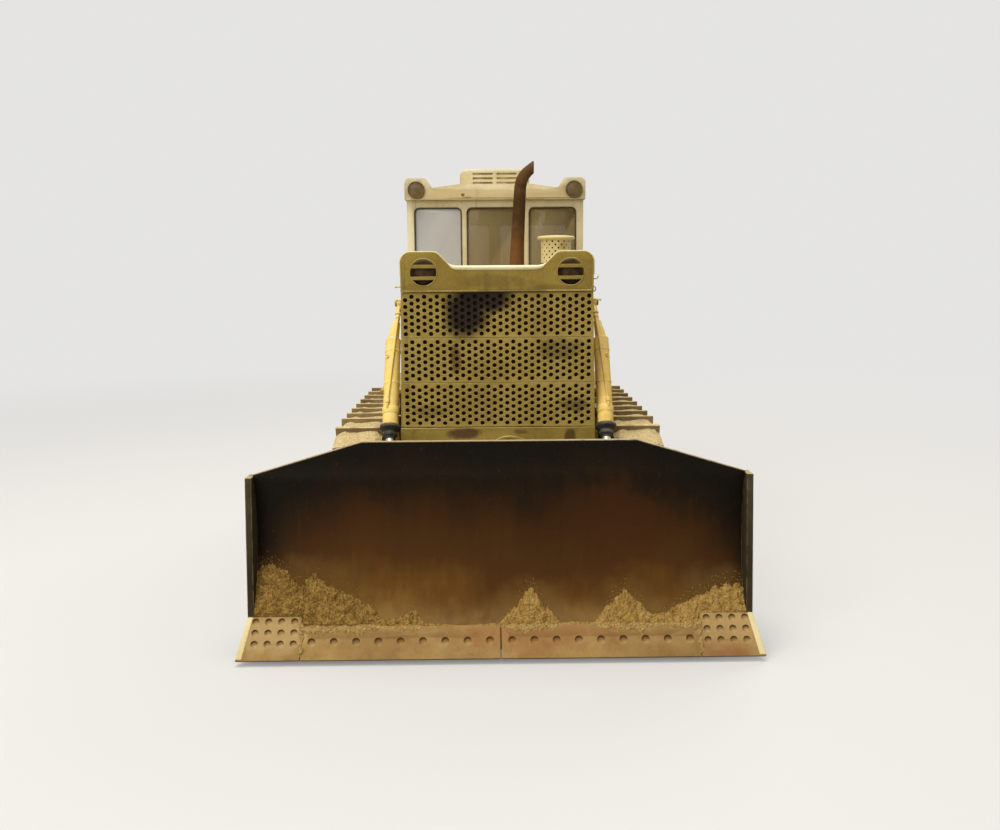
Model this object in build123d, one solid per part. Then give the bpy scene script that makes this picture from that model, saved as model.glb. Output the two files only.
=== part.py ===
from build123d import *
import os
from math import atan2, ceil, cos, degrees, hypot, pi, radians, sin, sqrt

# A tracked bulldozer as a display model at one twenty-fifth of a machine's size.
# Sizes are in millimetres. Stations run along Y from the blade's cutting edge to the
# rear, heights run up from the floor, and the front faces -Y.

# Fits
PIN_FIT = 0.06            # radial play of a pin in its bore
PANEL_GAP = 0.3           # gap beside a panel that can be taken off
DOOR_GAP = 0.4            # gap around a door
ROLLER_PLAY = 0.1         # gap between a roller and the rail it carries

# Tracks
TRACK_SPAN = 121.0        # width over both tracks
SHOE_PITCH = 13.6
SHOE_COUNT = 28
SHOE_WIDTH = 17.4
SHOE_THICKNESS = 1.5
SHOE_GAP = 0.7
GROUSER_HEIGHT = 3.2
GROUSER_THICKNESS = 1.5
GROUSER_OFFSET = 1.6      # from the shoe's leading edge
LINK_RISE = 1.1           # pin line to the shoe's underside
LINK_DROP = 2.2           # pin line to the running rail
BAND_OVERLAP = 0.4
RAIL_WIDTH = 2.2
RAIL_SPACING = 8.2        # between the centres of a track's two rails
SPROCKET_TEETH = 12
IDLER_STATION = 76.0

# Track frames and what they carry
FRAME_PLATE = 1.6
FRAME_INSIDE = 12.0       # clear width between a frame's plates
FRAME_BOTTOM = 9.5
FRAME_TOP = 29.0
FRAME_BOX_DEPTH = 4.0
FRAME_REAR_GAP = 2.0      # between the frame's rear end and the final drive
YOKE_REACH = 5.0
YOKE_HALF_HEIGHT = 4.0
YOKE_TAPER = 8.0          # from the first roller to the frame's full height
ROLLER_COUNT = 6
ROLLER_RADIUS = 4.2
ROLLER_MARGIN = 25.0      # from a wheel's axle to the nearest roller
CARRIER_COUNT = 2
CARRIER_RADIUS = 3.4
CARRIER_POST_WIDTH = 6.0
IDLER_TREAD_WIDTH = 10.4
IDLER_RIM_DEPTH = 4.0
IDLER_WEB = 3.0
IDLER_HUB_RADIUS = 6.0
SPROCKET_WIDTH = 4.4
SPROCKET_TIP_DROP = 0.6   # pin line down to the tooth tips
SPROCKET_TOOTH_DEPTH = 4.2
SPROCKET_HOLES = 6
SPROCKET_HOLE_RADIUS = 2.4
FINAL_DRIVE_RADIUS = 17.0
FINAL_DRIVE_HUB_RADIUS = 8.0
FINAL_DRIVE_CAP = 2.0

# Hull
HULL_HALF_WIDTH = 34.0
HULL_BOTTOM = 14.0
HULL_TOP = 40.0
HULL_WALL = 4.0
BEAM_SIZE = 8.0
FRONT_BEAM_STATION = 104.0
REAR_BEAM_STATION = 150.0
BEAM_BOTTOM = 18.0
CASE_REAR = 206.0
DRAWBAR_WIDTH = 9.0
DRAWBAR_THICKNESS = 3.0
DRAWBAR_BOTTOM = 20.0
DRAWBAR_LENGTH = 22.0
HITCH_HOLE_RADIUS = 1.6
HITCH_HOLE_SETBACK = 5.0

# Radiator guard
GUARD_STATION = 60.0      # front face of the grille panels
GUARD_DEPTH = 28.0
GUARD_HALF_WIDTH = 33.8   # of the box behind the panels
GUARD_WALL = 2.2
GRILLE_BOTTOM = 64.7
GRILLE_PANEL_HEIGHT = 16.1
GRILLE_PANELS = 3
GRILLE_THICKNESS = 1.2
GRILLE_HALF_BOTTOM = 35.0
GRILLE_HALF_TOP = 34.1
GRILLE_COLUMNS = 15
GRILLE_ROWS = 3
GRILLE_HOLE_RADIUS = 1.45
GRILLE_BORDER = 1.2
APRON_THICKNESS = 2.0
TOW_RING_RADIUS = 9.8
TOW_RING_BAR = 0.5
TOW_RING_X = 4.2
TOW_RING_DROP = 3.2       # from the apron's top edge
HEAD_PROUD = 0.8          # how far the head panel stands before the grille
NOTCH_RISE = 8.6          # of the head panel's middle above the grille
EAR_RISE = 5.5            # of its ears above the middle
NOTCH_HALF = 16.0
RAMP_HALF = 21.4
EAR_CORNER = 3.6
LAMP_X = 26.0
LAMP_DROP = 7.1           # from an ear's top to the middle of its lamp
LAMP_HOLE_RADIUS = 4.7
LAMP_BAR = 1.2
LAMP_BAR_SPACING = 4.1
LAMP_DEPTH = 2.8
EAR_BOX_DEPTH = 8.0
CORE_SETBACK = 6.0
CORE_THICKNESS = 5.0

# Hood and what stands on it
HOOD_HALF_WIDTH = 32.0
HOOD_DROP = 0.6           # below the middle of the head panel
HOOD_SHEET = 1.6
HOOD_SHOULDER = 6.0
HOOD_BEND = 17.0          # depth of the hood's bent edge
LOUVRE_COUNT = 8
LOUVRE_LENGTH = 30.0
LOUVRE_HEIGHT = 1.8
STACK_X = 8.0
STACK_STATION = 105.0
STACK_RADIUS = 2.4
STACK_WALL = 0.5
STACK_RISE = 34.0         # hood to the bend
STACK_LEAN = 1.8
STACK_BEND_RADIUS = 4.0
STACK_TIP_RUN = 5.2
STACK_TIP_RISE = 6.6
STACK_COLLAR_RADIUS = 4.0
STACK_COLLAR_HEIGHT = 3.0
CLEANER_X = 22.6
CLEANER_STATION = 97.0
CLEANER_NECK_RADIUS = 3.2
CLEANER_NECK_HEIGHT = 2.0
CLEANER_RADIUS = 5.8
CLEANER_BODY_HEIGHT = 8.6
CLEANER_CAP_OVERHANG = 1.4
CLEANER_CAP_HEIGHT = 2.8
CLEANER_RIM = 1.4
CLEANER_DISH = 0.8

# Cab
PLATFORM_TOP = 68.0
PLATFORM_THICKNESS = 2.0
PLATFORM_HALF_WIDTH = 52.0
PLATFORM_REAR = 212.0
CAB_FRONT = 142.7
CAB_DEPTH = 50.0
CAB_HALF_WIDTH = 38.3
CAB_WALL = 2.0
CAB_HEIGHT = 82.6         # platform to eaves
SILL_RISE = 38.0          # platform to the windows
FRONT_LINTEL = 3.2
SIDE_LINTEL = 8.4
WINDOW_CORNER = 2.2
CENTRE_WINDOW_HALF = 12.4
FRONT_POST = 2.2
CORNER_POST = 3.1
REAR_POST = 4.4
SIDE_POST = 3.5
GLASS_THICKNESS = 0.8
QUARTER_LENGTH = 14.0
ROOF_OVERHANG = 0.7
ROOF_SLAB = 3.0
ROOF_CROWN = 3.8
ROOF_SHOULDER = 9.0       # from the roof's side to its upper bend
VISOR_REACH = 2.2
VISOR_THICKNESS = 2.0
VISOR_HEIGHT = 4.0        # of its middle, above the eaves
VISOR_EAR_RISE = 5.2
VISOR_EAR_WIDTH = 9.0
VISOR_RAMP = 3.6
VISOR_CORNER = 2.2
CAB_LAMP_INSET = 1.4      # from a visor ear's edges
CAB_LAMP_RADIUS = 3.6
CAB_LAMP_DEPTH = 2.4
VENT_HALF_WIDTH = 16.0
VENT_SETBACK = 22.0       # behind the cab's front
VENT_LENGTH = 22.0
VENT_HEIGHT = 8.6
VENT_CORNER = 6.0
VENT_SLOT_LENGTH = 9.0
VENT_SLOT_HEIGHT = 0.9
VENT_SLOT_PITCH = 2.0
VENT_SLOTS = 3
HINGE_RADIUS = 0.9
HINGE_KNUCKLE = 4.0
HINGE_INSET = 10.0        # from the door's ends to the outer end of a hinge
SEAT_HALF_WIDTH = 9.0
SEAT_FRONT_SETBACK = 24.0
SEAT_LENGTH = 16.0
SEAT_HEIGHT = 18.0
SEAT_CUSHION = 4.0
SEAT_BACK_HEIGHT = 24.0
SEAT_BACK = 4.0
CONSOLE_HALF_WIDTH = 20.0
CONSOLE_DEPTH = 6.0
CONSOLE_HEIGHT = 30.0
LEVER_RADIUS = 0.6
LEVER_HEIGHT = 12.0
TANK_HALF_WIDTH = 30.0
TANK_LENGTH = 17.0
TANK_HEIGHT = 38.0
TANK_CORNER = 4.0

# Blade
BLADE_OVERHANG = 12.1     # outside the push arms
BLADE_HEIGHT = 66.9
BLADE_CORNER_DROP = 11.6
BLADE_SLOPE_RUN = 37.0    # length of the sloping part of its top, across
BLADE_FLOOR_GAP = 1.2
BLADE_TOP_STATION = 9.0
MOLDBOARD_THICKNESS = 2.0
END_PLATE = 2.0
END_PLATE_DEPTH = 12.0
END_PLATE_SETBACK = 2.0   # of its top behind the moldboard's
EDGE_RAKE = 30.0
EDGE_LENGTH = 10.3
EDGE_THICKNESS = 1.4
EDGE_LAP = 7.0            # of the edge over the moldboard
EDGE_SEAM = 0.4
EDGE_BOLT_COUNT = 18
EDGE_BOLT_PITCH = 6.94
EDGE_BOLT_RADIUS = 1.2
EDGE_BOLT_DEPTH = 0.5
END_BIT_WIDTH = 17.0
END_BIT_RISE = 3.3        # above the cutting edge, along its slope
END_BIT_FLARE = 3.0
BACK_BEAM_STATION = 22.0
LOWER_BEAM_BOTTOM = 6.5
LOWER_BEAM_HEIGHT = 14.0
UPPER_BEAM_BOTTOM = 46.0
UPPER_BEAM_HEIGHT = 9.0
BACK_BEAM_INSET = 6.5     # from an end plate
RIB_THICKNESS = 2.0
RIB_COUNT = 5
RIB_SPACING = 26.0

# Push arms and braces
TRUNNION_STATION = 136.0
TRUNNION_HEIGHT = 24.0
TRUNNION_RADIUS = 2.6
TRUNNION_CAP = 1.2
TRUNNION_BOSS = 4.4
ARM_CLEARANCE = 1.8       # beside the track
ARM_WIDTH = 5.0
ARM_DEPTH = 11.0
ARM_EYE_RADIUS = 5.6
BRACE_RADIUS = 1.8
BRACE_SLEEVE_RADIUS = 2.6
BRACE_SLEEVE_LENGTH = 18.0
BRACE_EYE_RADIUS = 2.8
BRACE_PIN_RADIUS = 1.1
BRACE_WIDTH = 2.4
BRACE_LUG = 1.1
BRACE_LUG_PLAY = 0.2
BRACE_REACH = 62.0        # along the arm, from the blade's beam
BRACE_STANDOFF = 4.0

# Lift cylinders
CYLINDER_X = 39.0
LIFT_PIVOT_STATION = 86.2
LIFT_PIVOT_HEIGHT = 108.3
LIFT_PIVOT_RADIUS = 1.3
LIFT_EYE_RADIUS = 2.6
LIFT_EYE_WIDTH = 4.0
LIFT_CAP_RADIUS = 2.0
LIFT_CAP_WIDTH = 0.8
ROD_PIN_STATION = 38.2
ROD_PIN_HEIGHT = 27.4
ROD_PIN_RADIUS = 0.9
ROD_EYE_PLAY = 0.55       # room for the pin to drift in the rod's eye
ROD_EYE_RADIUS = 3.0
ROD_EYE_WIDTH = 3.0
ROD_LUG = 1.2
ROD_LUG_PLAY = 0.3
ROD_RADIUS = 1.5
ROD_INSERT = 11.0         # rod inside the barrel as parked
BARREL_RADIUS = 2.85
BARREL_LENGTH = 55.0      # pivot to the gland's lower face
BARREL_NECK = 14.0        # pivot to the barrel's shoulder
BARREL_NECK_RADIUS = 1.7
BARREL_HEAD = 1.5         # solid metal between the shoulder and the bore
GLAND_RADIUS = 3.6
GLAND_LENGTH = 5.2
GLAND_FLANGE = 2.6
GLAND_NECK_RADIUS = 2.5

# Derived places
WHEEL_RADIUS = SHOE_PITCH / (2 * sin(pi / SPROCKET_TEETH))
AXLE_HEIGHT = WHEEL_RADIUS + LINK_RISE + SHOE_THICKNESS + GROUSER_HEIGHT
WHEELBASE = (SHOE_COUNT * SHOE_PITCH - 2 * pi * WHEEL_RADIUS) / 2
SPROCKET_STATION = IDLER_STATION + WHEELBASE
TRACK_X = (TRACK_SPAN - SHOE_WIDTH) / 2
RAIL_RADIUS = WHEEL_RADIUS - LINK_DROP
FRAME_INNER_X = TRACK_X - FRAME_INSIDE / 2 - FRAME_PLATE
FRAME_OUTER_X = TRACK_X + FRAME_INSIDE / 2 + FRAME_PLATE
FRAME_REAR = SPROCKET_STATION - FINAL_DRIVE_RADIUS - FRAME_REAR_GAP
FRAME_BOX_REAR = SPROCKET_STATION - WHEEL_RADIUS - PANEL_GAP
PANEL_BACK = GUARD_STATION + GRILLE_THICKNESS
GUARD_REAR = PANEL_BACK + GUARD_DEPTH
GRILLE_TOP = GRILLE_BOTTOM + GRILLE_PANELS * GRILLE_PANEL_HEIGHT
NOTCH_TOP = GRILLE_TOP + NOTCH_RISE
EAR_TOP = NOTCH_TOP + EAR_RISE
LAMP_HEIGHT = EAR_TOP - LAMP_DROP
TOW_RING_HEIGHT = GRILLE_BOTTOM - TOW_RING_DROP - TOW_RING_RADIUS
HOOD_TOP = NOTCH_TOP - HOOD_DROP
HOOD_SIDE_TOP = HOOD_TOP - HOOD_BEND
STACK_BEND_HEIGHT = HOOD_TOP + STACK_RISE
CAB_REAR = CAB_FRONT + CAB_DEPTH
CAB_INSIDE_FRONT = CAB_FRONT + CAB_WALL
CAB_INSIDE_REAR = CAB_REAR - CAB_WALL
CAB_INSIDE_X = CAB_HALF_WIDTH - CAB_WALL
QUARTER_FRONT = CAB_INSIDE_REAR - QUARTER_LENGTH
CAB_EAVES = PLATFORM_TOP + CAB_HEIGHT
SILL_HEIGHT = PLATFORM_TOP + SILL_RISE
FRONT_WINDOW_TOP = CAB_EAVES - FRONT_LINTEL
REAR_WINDOW_TOP = CAB_EAVES - SIDE_LINTEL
ROOF_HALF_WIDTH = CAB_HALF_WIDTH + ROOF_OVERHANG
ROOF_TOP = CAB_EAVES + ROOF_SLAB + ROOF_CROWN
VISOR_TOP = CAB_EAVES + VISOR_HEIGHT
VISOR_EAR_TOP = VISOR_TOP + VISOR_EAR_RISE
CAB_LAMP_X = ROOF_HALF_WIDTH - CAB_LAMP_RADIUS - CAB_LAMP_INSET
CAB_LAMP_HEIGHT = VISOR_EAR_TOP - CAB_LAMP_RADIUS - CAB_LAMP_INSET
VENT_TOP = ROOF_TOP + VENT_HEIGHT
HINGE_X = CAB_HALF_WIDTH + HINGE_RADIUS
DOOR_BOTTOM = PLATFORM_TOP + DOOR_GAP
DOOR_TOP = CAB_EAVES - DOOR_GAP
DOOR_FRONT = CAB_INSIDE_FRONT + DOOR_GAP
DOOR_REAR = QUARTER_FRONT - DOOR_GAP
ARM_INNER_X = TRACK_SPAN / 2 + ARM_CLEARANCE
ARM_X = ARM_INNER_X + ARM_WIDTH / 2
BLADE_WIDTH = 2 * (ARM_INNER_X + ARM_WIDTH + BLADE_OVERHANG)
BACK_BEAM_HALF = BLADE_WIDTH / 2 - END_PLATE - BACK_BEAM_INSET
EDGE_SINE = sin(radians(EDGE_RAKE))
EDGE_COSINE = cos(radians(EDGE_RAKE))
EDGE_FRONT_Z = BLADE_FLOOR_GAP + EDGE_THICKNESS * EDGE_SINE
BLADE_TOP = EDGE_FRONT_Z + BLADE_HEIGHT
BLADE_CORNER_TOP = BLADE_TOP - BLADE_CORNER_DROP
CYLINDER_RUN = LIFT_PIVOT_STATION - ROD_PIN_STATION
CYLINDER_RISE = LIFT_PIVOT_HEIGHT - ROD_PIN_HEIGHT
CYLINDER_LENGTH = hypot(CYLINDER_RUN, CYLINDER_RISE)
HITCH_STATION = CASE_REAR + DRAWBAR_LENGTH - HITCH_HOLE_SETBACK
OVERALL_LENGTH = CASE_REAR + DRAWBAR_LENGTH


def slab(x0, x1, y0, y1, z0, z1):
    """A block between two limits on each axis."""
    block = Box(x1 - x0, y1 - y0, z1 - z0)
    return Pos((x0 + x1) / 2, (y0 + y1) / 2, (z0 + z1) / 2) * block


def side_plate(outline, x0, x1):
    """A plate with an outline of (station, height) points, from x0 to x1."""
    return Pos(x0, 0, 0) * extrude(Plane.YZ * Polygon(*outline), x1 - x0, dir=(1, 0, 0))


def face_plate(sketch, y0, y1):
    """A plate with a sketch in (x, height), from station y0 to y1."""
    plane = Plane(origin=(0, y0, 0), x_dir=(1, 0, 0), z_dir=(0, -1, 0))
    return extrude(plane * sketch, y1 - y0, dir=(0, 1, 0))


def cross_shaft(radius, x0, x1, station, height):
    """A round bar along X."""
    bar = Rot(0, 90, 0) * Cylinder(radius, x1 - x0)
    return Pos((x0 + x1) / 2, station, height) * bar


def post(radius, x, station, z0, z1):
    """An upright round bar."""
    return Pos(x, station, (z0 + z1) / 2) * Cylinder(radius, z1 - z0)


def strut(radius, start, end):
    """A round bar between two points."""
    way = Vector(*end) - Vector(*start)
    plane = Plane(origin=start, z_dir=way)
    return extrude(plane * Circle(radius), way.length)


def both_sides(shape):
    """A piece and its mirror image on the other side of the machine."""
    return shape + mirror(shape, about=Plane.YZ)


def rectangle(x0, x1, z0, z1, corner=0.0):
    """A rectangle sketch between limits, with rounded corners if asked for."""
    place = Pos((x0 + x1) / 2, (z0 + z1) / 2)
    if corner > 0:
        return place * RectangleRounded(x1 - x0, z1 - z0, corner)
    return place * Rectangle(x1 - x0, z1 - z0)


def track_pin(index):
    """The (station, height) of a track pin on the loop's pin line."""
    arc = pi * WHEEL_RADIUS
    run = (index % SHOE_COUNT) * SHOE_PITCH
    if run < WHEELBASE:
        return IDLER_STATION + run, AXLE_HEIGHT - WHEEL_RADIUS
    run -= WHEELBASE
    if run < arc:
        turn = run / WHEEL_RADIUS
        return SPROCKET_STATION + WHEEL_RADIUS * sin(turn), AXLE_HEIGHT - WHEEL_RADIUS * cos(turn)
    run -= arc
    if run < WHEELBASE:
        return SPROCKET_STATION - run, AXLE_HEIGHT + WHEEL_RADIUS
    turn = (run - WHEELBASE) / WHEEL_RADIUS
    return IDLER_STATION - WHEEL_RADIUS * sin(turn), AXLE_HEIGHT + WHEEL_RADIUS * cos(turn)


def loop_face(offset_out):
    """The area inside the track's pin line, grown by an offset."""
    radius = WHEEL_RADIUS + offset_out
    slot = SlotCenterToCenter(WHEELBASE, 2 * radius)
    return Pos((IDLER_STATION + SPROCKET_STATION) / 2, AXLE_HEIGHT) * slot


def shoe_outline(index):
    """One shoe with its grouser, standing outwards on the chord between two pins."""
    y0, z0 = track_pin(index)
    y1, z1 = track_pin(index + 1)
    length = hypot(y1 - y0, z1 - z0)
    along = ((y1 - y0) / length, (z1 - z0) / length)
    out = (along[1], -along[0])
    top = LINK_RISE + SHOE_THICKNESS
    tip = top + GROUSER_HEIGHT
    first = SHOE_GAP / 2
    last = length - SHOE_GAP / 2
    bar = first + GROUSER_OFFSET
    profile = [
        (first, LINK_RISE), (last, LINK_RISE), (last, top), (bar + GROUSER_THICKNESS, top),
        (bar + GROUSER_THICKNESS, tip), (bar, tip), (bar, top), (first, top),
    ]
    points = [(y0 + u * along[0] + v * out[0], z0 + u * along[1] + v * out[1]) for u, v in profile]
    return Polygon(*points)


def track_loop():
    """The closed track on the +X side: a band with shoes, and two running rails."""
    band = loop_face(LINK_RISE + BAND_OVERLAP) - loop_face(-BAND_OVERLAP)
    band += [shoe_outline(index) for index in range(SHOE_COUNT)]
    rail = loop_face(0) - loop_face(-LINK_DROP)
    body = Pos(TRACK_X - SHOE_WIDTH / 2, 0, 0) * extrude(Plane.YZ * band, SHOE_WIDTH, dir=(1, 0, 0))
    for side in (-1, 1):
        start = TRACK_X + side * RAIL_SPACING / 2 - RAIL_WIDTH / 2
        body += Pos(start, 0, 0) * extrude(Plane.YZ * rail, RAIL_WIDTH, dir=(1, 0, 0))
    return body


def wheel(profile, station, height):
    """A turned wheel about X from (radius, x) points, centred on the track."""
    section = Plane.XZ * Polygon(*profile)
    turned = Rot(0, 90, 0) * revolve(section, axis=Axis.Z)
    return Pos(TRACK_X, station, height) * turned


def idler():
    """The plain front wheel of the track on the +X side, with its axle."""
    tread = RAIL_RADIUS - ROLLER_PLAY
    inner = tread - IDLER_RIM_DEPTH
    half = IDLER_TREAD_WIDTH / 2
    web = IDLER_WEB / 2
    end = FRAME_INSIDE / 2
    right = [(IDLER_HUB_RADIUS, end), (IDLER_HUB_RADIUS, web), (inner, web), (inner, half), (tread, half)]
    left = [(radius, -x) for radius, x in reversed(right)]
    return wheel([(0, end)] + right + left + [(0, -end)], IDLER_STATION, AXLE_HEIGHT)


def roller(radius, station, height):
    """A plain roller that fills the space between a frame's plates."""
    half = FRAME_INSIDE / 2
    return cross_shaft(radius, TRACK_X - half, TRACK_X + half, station, height)


def roller_stations(count, margin):
    """Evenly spaced stations between the idler and the sprocket."""
    first = IDLER_STATION + margin
    last = SPROCKET_STATION - margin
    return [first + index * (last - first) / (count - 1) for index in range(count)]


CARRIER_STATIONS = roller_stations(CARRIER_COUNT, WHEELBASE / 3)
ROLLER_HEIGHT = AXLE_HEIGHT - RAIL_RADIUS + ROLLER_RADIUS + ROLLER_PLAY
CARRIER_HEIGHT = AXLE_HEIGHT + RAIL_RADIUS - CARRIER_RADIUS - ROLLER_PLAY


def rollers():
    """The lower rollers and the carrier rollers of one track."""
    lower = [roller(ROLLER_RADIUS, y, ROLLER_HEIGHT) for y in roller_stations(ROLLER_COUNT, ROLLER_MARGIN)]
    upper = [roller(CARRIER_RADIUS, y, CARRIER_HEIGHT) for y in CARRIER_STATIONS]
    return Part() + lower + upper


def sprocket():
    """The toothed rear wheel of the track on the +X side, on the final drive's hub."""
    tip = WHEEL_RADIUS - SPROCKET_TIP_DROP
    root = tip - SPROCKET_TOOTH_DEPTH
    step = 2 * pi / SPROCKET_TEETH
    corners = []
    for tooth in range(SPROCKET_TEETH):
        for radius, share in ((root, -0.30), (tip, -0.13), (tip, 0.13), (root, 0.30)):
            angle = (tooth + share) * step
            corners.append((radius * cos(angle), radius * sin(angle)))
    disc = Polygon(*corners) - Circle(FINAL_DRIVE_HUB_RADIUS)
    ring = (root + FINAL_DRIVE_HUB_RADIUS) / 2
    for hole in range(SPROCKET_HOLES):
        angle = 2 * pi * hole / SPROCKET_HOLES
        disc -= Pos(ring * cos(angle), ring * sin(angle)) * Circle(SPROCKET_HOLE_RADIUS)
    plate = extrude(Plane.YZ * disc, SPROCKET_WIDTH, dir=(1, 0, 0))
    return Pos(TRACK_X - SPROCKET_WIDTH / 2, SPROCKET_STATION, AXLE_HEIGHT) * plate


def final_drive():
    """The round gear case between the hull and the sprocket, with the sprocket's hub."""
    face = TRACK_X - SPROCKET_WIDTH / 2
    outer = TRACK_X + SPROCKET_WIDTH / 2
    case = cross_shaft(FINAL_DRIVE_RADIUS, HULL_HALF_WIDTH, face, SPROCKET_STATION, AXLE_HEIGHT)
    hub = cross_shaft(FINAL_DRIVE_HUB_RADIUS, face, outer, SPROCKET_STATION, AXLE_HEIGHT)
    cap_radius = FINAL_DRIVE_HUB_RADIUS + SPROCKET_HOLE_RADIUS / 2
    cap = cross_shaft(cap_radius, outer, outer + FINAL_DRIVE_CAP, SPROCKET_STATION, AXLE_HEIGHT)
    return case + hub + cap


def track_frame():
    """The roller frame of the +X side, with the idler's yoke and the push arm's trunnion."""
    yoke = AXLE_HEIGHT + YOKE_HALF_HEIGHT
    box_front = IDLER_STATION + ROLLER_MARGIN + YOKE_TAPER
    outline = [
        (IDLER_STATION - YOKE_REACH, AXLE_HEIGHT - YOKE_HALF_HEIGHT),
        (IDLER_STATION + ROLLER_MARGIN / 3, AXLE_HEIGHT - YOKE_HALF_HEIGHT),
        (IDLER_STATION + ROLLER_MARGIN - ROLLER_RADIUS, FRAME_BOTTOM), (FRAME_REAR, FRAME_BOTTOM),
        (FRAME_REAR, FRAME_TOP), (box_front, FRAME_TOP),
        (IDLER_STATION + ROLLER_MARGIN / 2, yoke), (IDLER_STATION - YOKE_REACH, yoke),
    ]
    inner = FRAME_INNER_X + FRAME_PLATE
    outer = FRAME_OUTER_X - FRAME_PLATE
    frame = side_plate(outline, FRAME_INNER_X, inner) + side_plate(outline, outer, FRAME_OUTER_X)
    frame += slab(inner, outer, box_front, FRAME_BOX_REAR, FRAME_TOP - FRAME_BOX_DEPTH, FRAME_TOP)
    half = CARRIER_POST_WIDTH / 2
    for station in CARRIER_STATIONS:
        top = CARRIER_HEIGHT + CARRIER_RADIUS / 2
        frame += slab(FRAME_INNER_X, inner, station - half, station + half, FRAME_TOP, top)
    arm_outer = ARM_INNER_X + ARM_WIDTH
    place = (TRUNNION_STATION, TRUNNION_HEIGHT)
    frame += cross_shaft(TRUNNION_BOSS, FRAME_OUTER_X, ARM_INNER_X - PANEL_GAP, *place)
    frame += cross_shaft(TRUNNION_RADIUS, FRAME_OUTER_X, arm_outer + PANEL_GAP, *place)
    cap = arm_outer + PANEL_GAP
    frame += cross_shaft(TRUNNION_BOSS, cap, cap + TRUNNION_CAP, *place)
    return frame


def main_frame():
    """The trough-shaped front part of the hull."""
    outside = slab(-HULL_HALF_WIDTH, HULL_HALF_WIDTH, PANEL_BACK, CAB_FRONT, HULL_BOTTOM, HULL_TOP)
    inside_x = HULL_HALF_WIDTH - HULL_WALL
    inside = slab(
        -inside_x, inside_x, PANEL_BACK + HULL_WALL, CAB_FRONT, HULL_BOTTOM + HULL_WALL, HULL_TOP
    )
    return outside - inside


def transmission_case():
    """The rear part of the hull under the cab, bevelled at its lower rear edge."""
    under = PLATFORM_TOP - PLATFORM_THICKNESS
    outline = [
        (CAB_FRONT, HULL_BOTTOM), (CASE_REAR - BEAM_SIZE, HULL_BOTTOM),
        (CASE_REAR, HULL_BOTTOM + BEAM_SIZE / 2), (CASE_REAR, under), (CAB_FRONT, under),
    ]
    case = side_plate(outline, -HULL_HALF_WIDTH, HULL_HALF_WIDTH)
    inside_x = HULL_HALF_WIDTH - HULL_WALL
    floor = HULL_BOTTOM + HULL_WALL
    return case - slab(-inside_x, inside_x, CAB_FRONT + HULL_WALL, CASE_REAR - BEAM_SIZE, floor, under)


def cross_beams():
    """The beams that tie the hull to the track frames."""
    beams = Part()
    for station in (FRONT_BEAM_STATION, REAR_BEAM_STATION):
        beam = slab(
            HULL_HALF_WIDTH, FRAME_INNER_X, station - BEAM_SIZE / 2, station + BEAM_SIZE / 2,
            BEAM_BOTTOM, BEAM_BOTTOM + BEAM_SIZE,
        )
        beams += both_sides(beam)
    return beams


def drawbar():
    """The rear hitch plate with its pin hole."""
    half = DRAWBAR_WIDTH / 2
    rear = OVERALL_LENGTH - half
    top = DRAWBAR_BOTTOM + DRAWBAR_THICKNESS
    bar = slab(-half, half, CASE_REAR, rear, DRAWBAR_BOTTOM, top)
    bar += post(half, 0, rear, DRAWBAR_BOTTOM, top)
    bar -= post(HITCH_HOLE_RADIUS, 0, HITCH_STATION, DRAWBAR_BOTTOM, top)
    return bar


def grille_half(height):
    """Half the width of the tapered guard front at a height."""
    share = (height - GRILLE_BOTTOM) / (GRILLE_TOP - GRILLE_BOTTOM)
    return GRILLE_HALF_BOTTOM + share * (GRILLE_HALF_TOP - GRILLE_HALF_BOTTOM)


def grille_panel(number):
    """One perforated panel of the radiator guard, counted from the bottom."""
    low = GRILLE_BOTTOM + number * GRILLE_PANEL_HEIGHT
    high = low + GRILLE_PANEL_HEIGHT - PANEL_GAP
    panel = Polygon(
        (-grille_half(low), low), (grille_half(low), low),
        (grille_half(high), high), (-grille_half(high), high),
    )
    width = 2 * (GRILLE_HALF_TOP - GRILLE_BORDER - GRILLE_HOLE_RADIUS)
    column = width / (GRILLE_COLUMNS - 1)
    row = (high - low - 2 * GRILLE_BORDER) / (GRILLE_ROWS + 0.5)
    holes = []
    for across in range(GRILLE_COLUMNS):
        start = low + GRILLE_BORDER + row / 2 + (across % 2) * row / 2
        for up in range(GRILLE_ROWS):
            hole = RegularPolygon(GRILLE_HOLE_RADIUS, 6)
            holes.append(Pos(across * column - width / 2, start + up * row) * hole)
    return face_plate(panel - holes, GUARD_STATION, PANEL_BACK)


def radiator_guard():
    """The open box behind the grille, with the boxes behind the lamps."""
    inner = GUARD_HALF_WIDTH - GUARD_WALL
    roof = HOOD_TOP - HOOD_SHEET
    shell = rectangle(-GUARD_HALF_WIDTH, GUARD_HALF_WIDTH, HULL_TOP, HOOD_TOP)
    shell -= rectangle(-inner, inner, HULL_TOP, roof)
    guard = face_plate(shell, PANEL_BACK + LAMP_DEPTH, GUARD_REAR)
    lip = rectangle(-GUARD_HALF_WIDTH, GUARD_HALF_WIDTH, HULL_TOP, GRILLE_TOP)
    lip -= rectangle(-inner, inner, HULL_TOP, GRILLE_TOP)
    guard += face_plate(lip, PANEL_BACK, PANEL_BACK + LAMP_DEPTH)
    box_front = PANEL_BACK + LAMP_DEPTH
    ear = slab(
        RAMP_HALF, GUARD_HALF_WIDTH - GUARD_WALL, box_front, box_front + EAR_BOX_DEPTH,
        roof, EAR_TOP - GUARD_WALL,
    )
    return guard + both_sides(ear)


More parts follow.
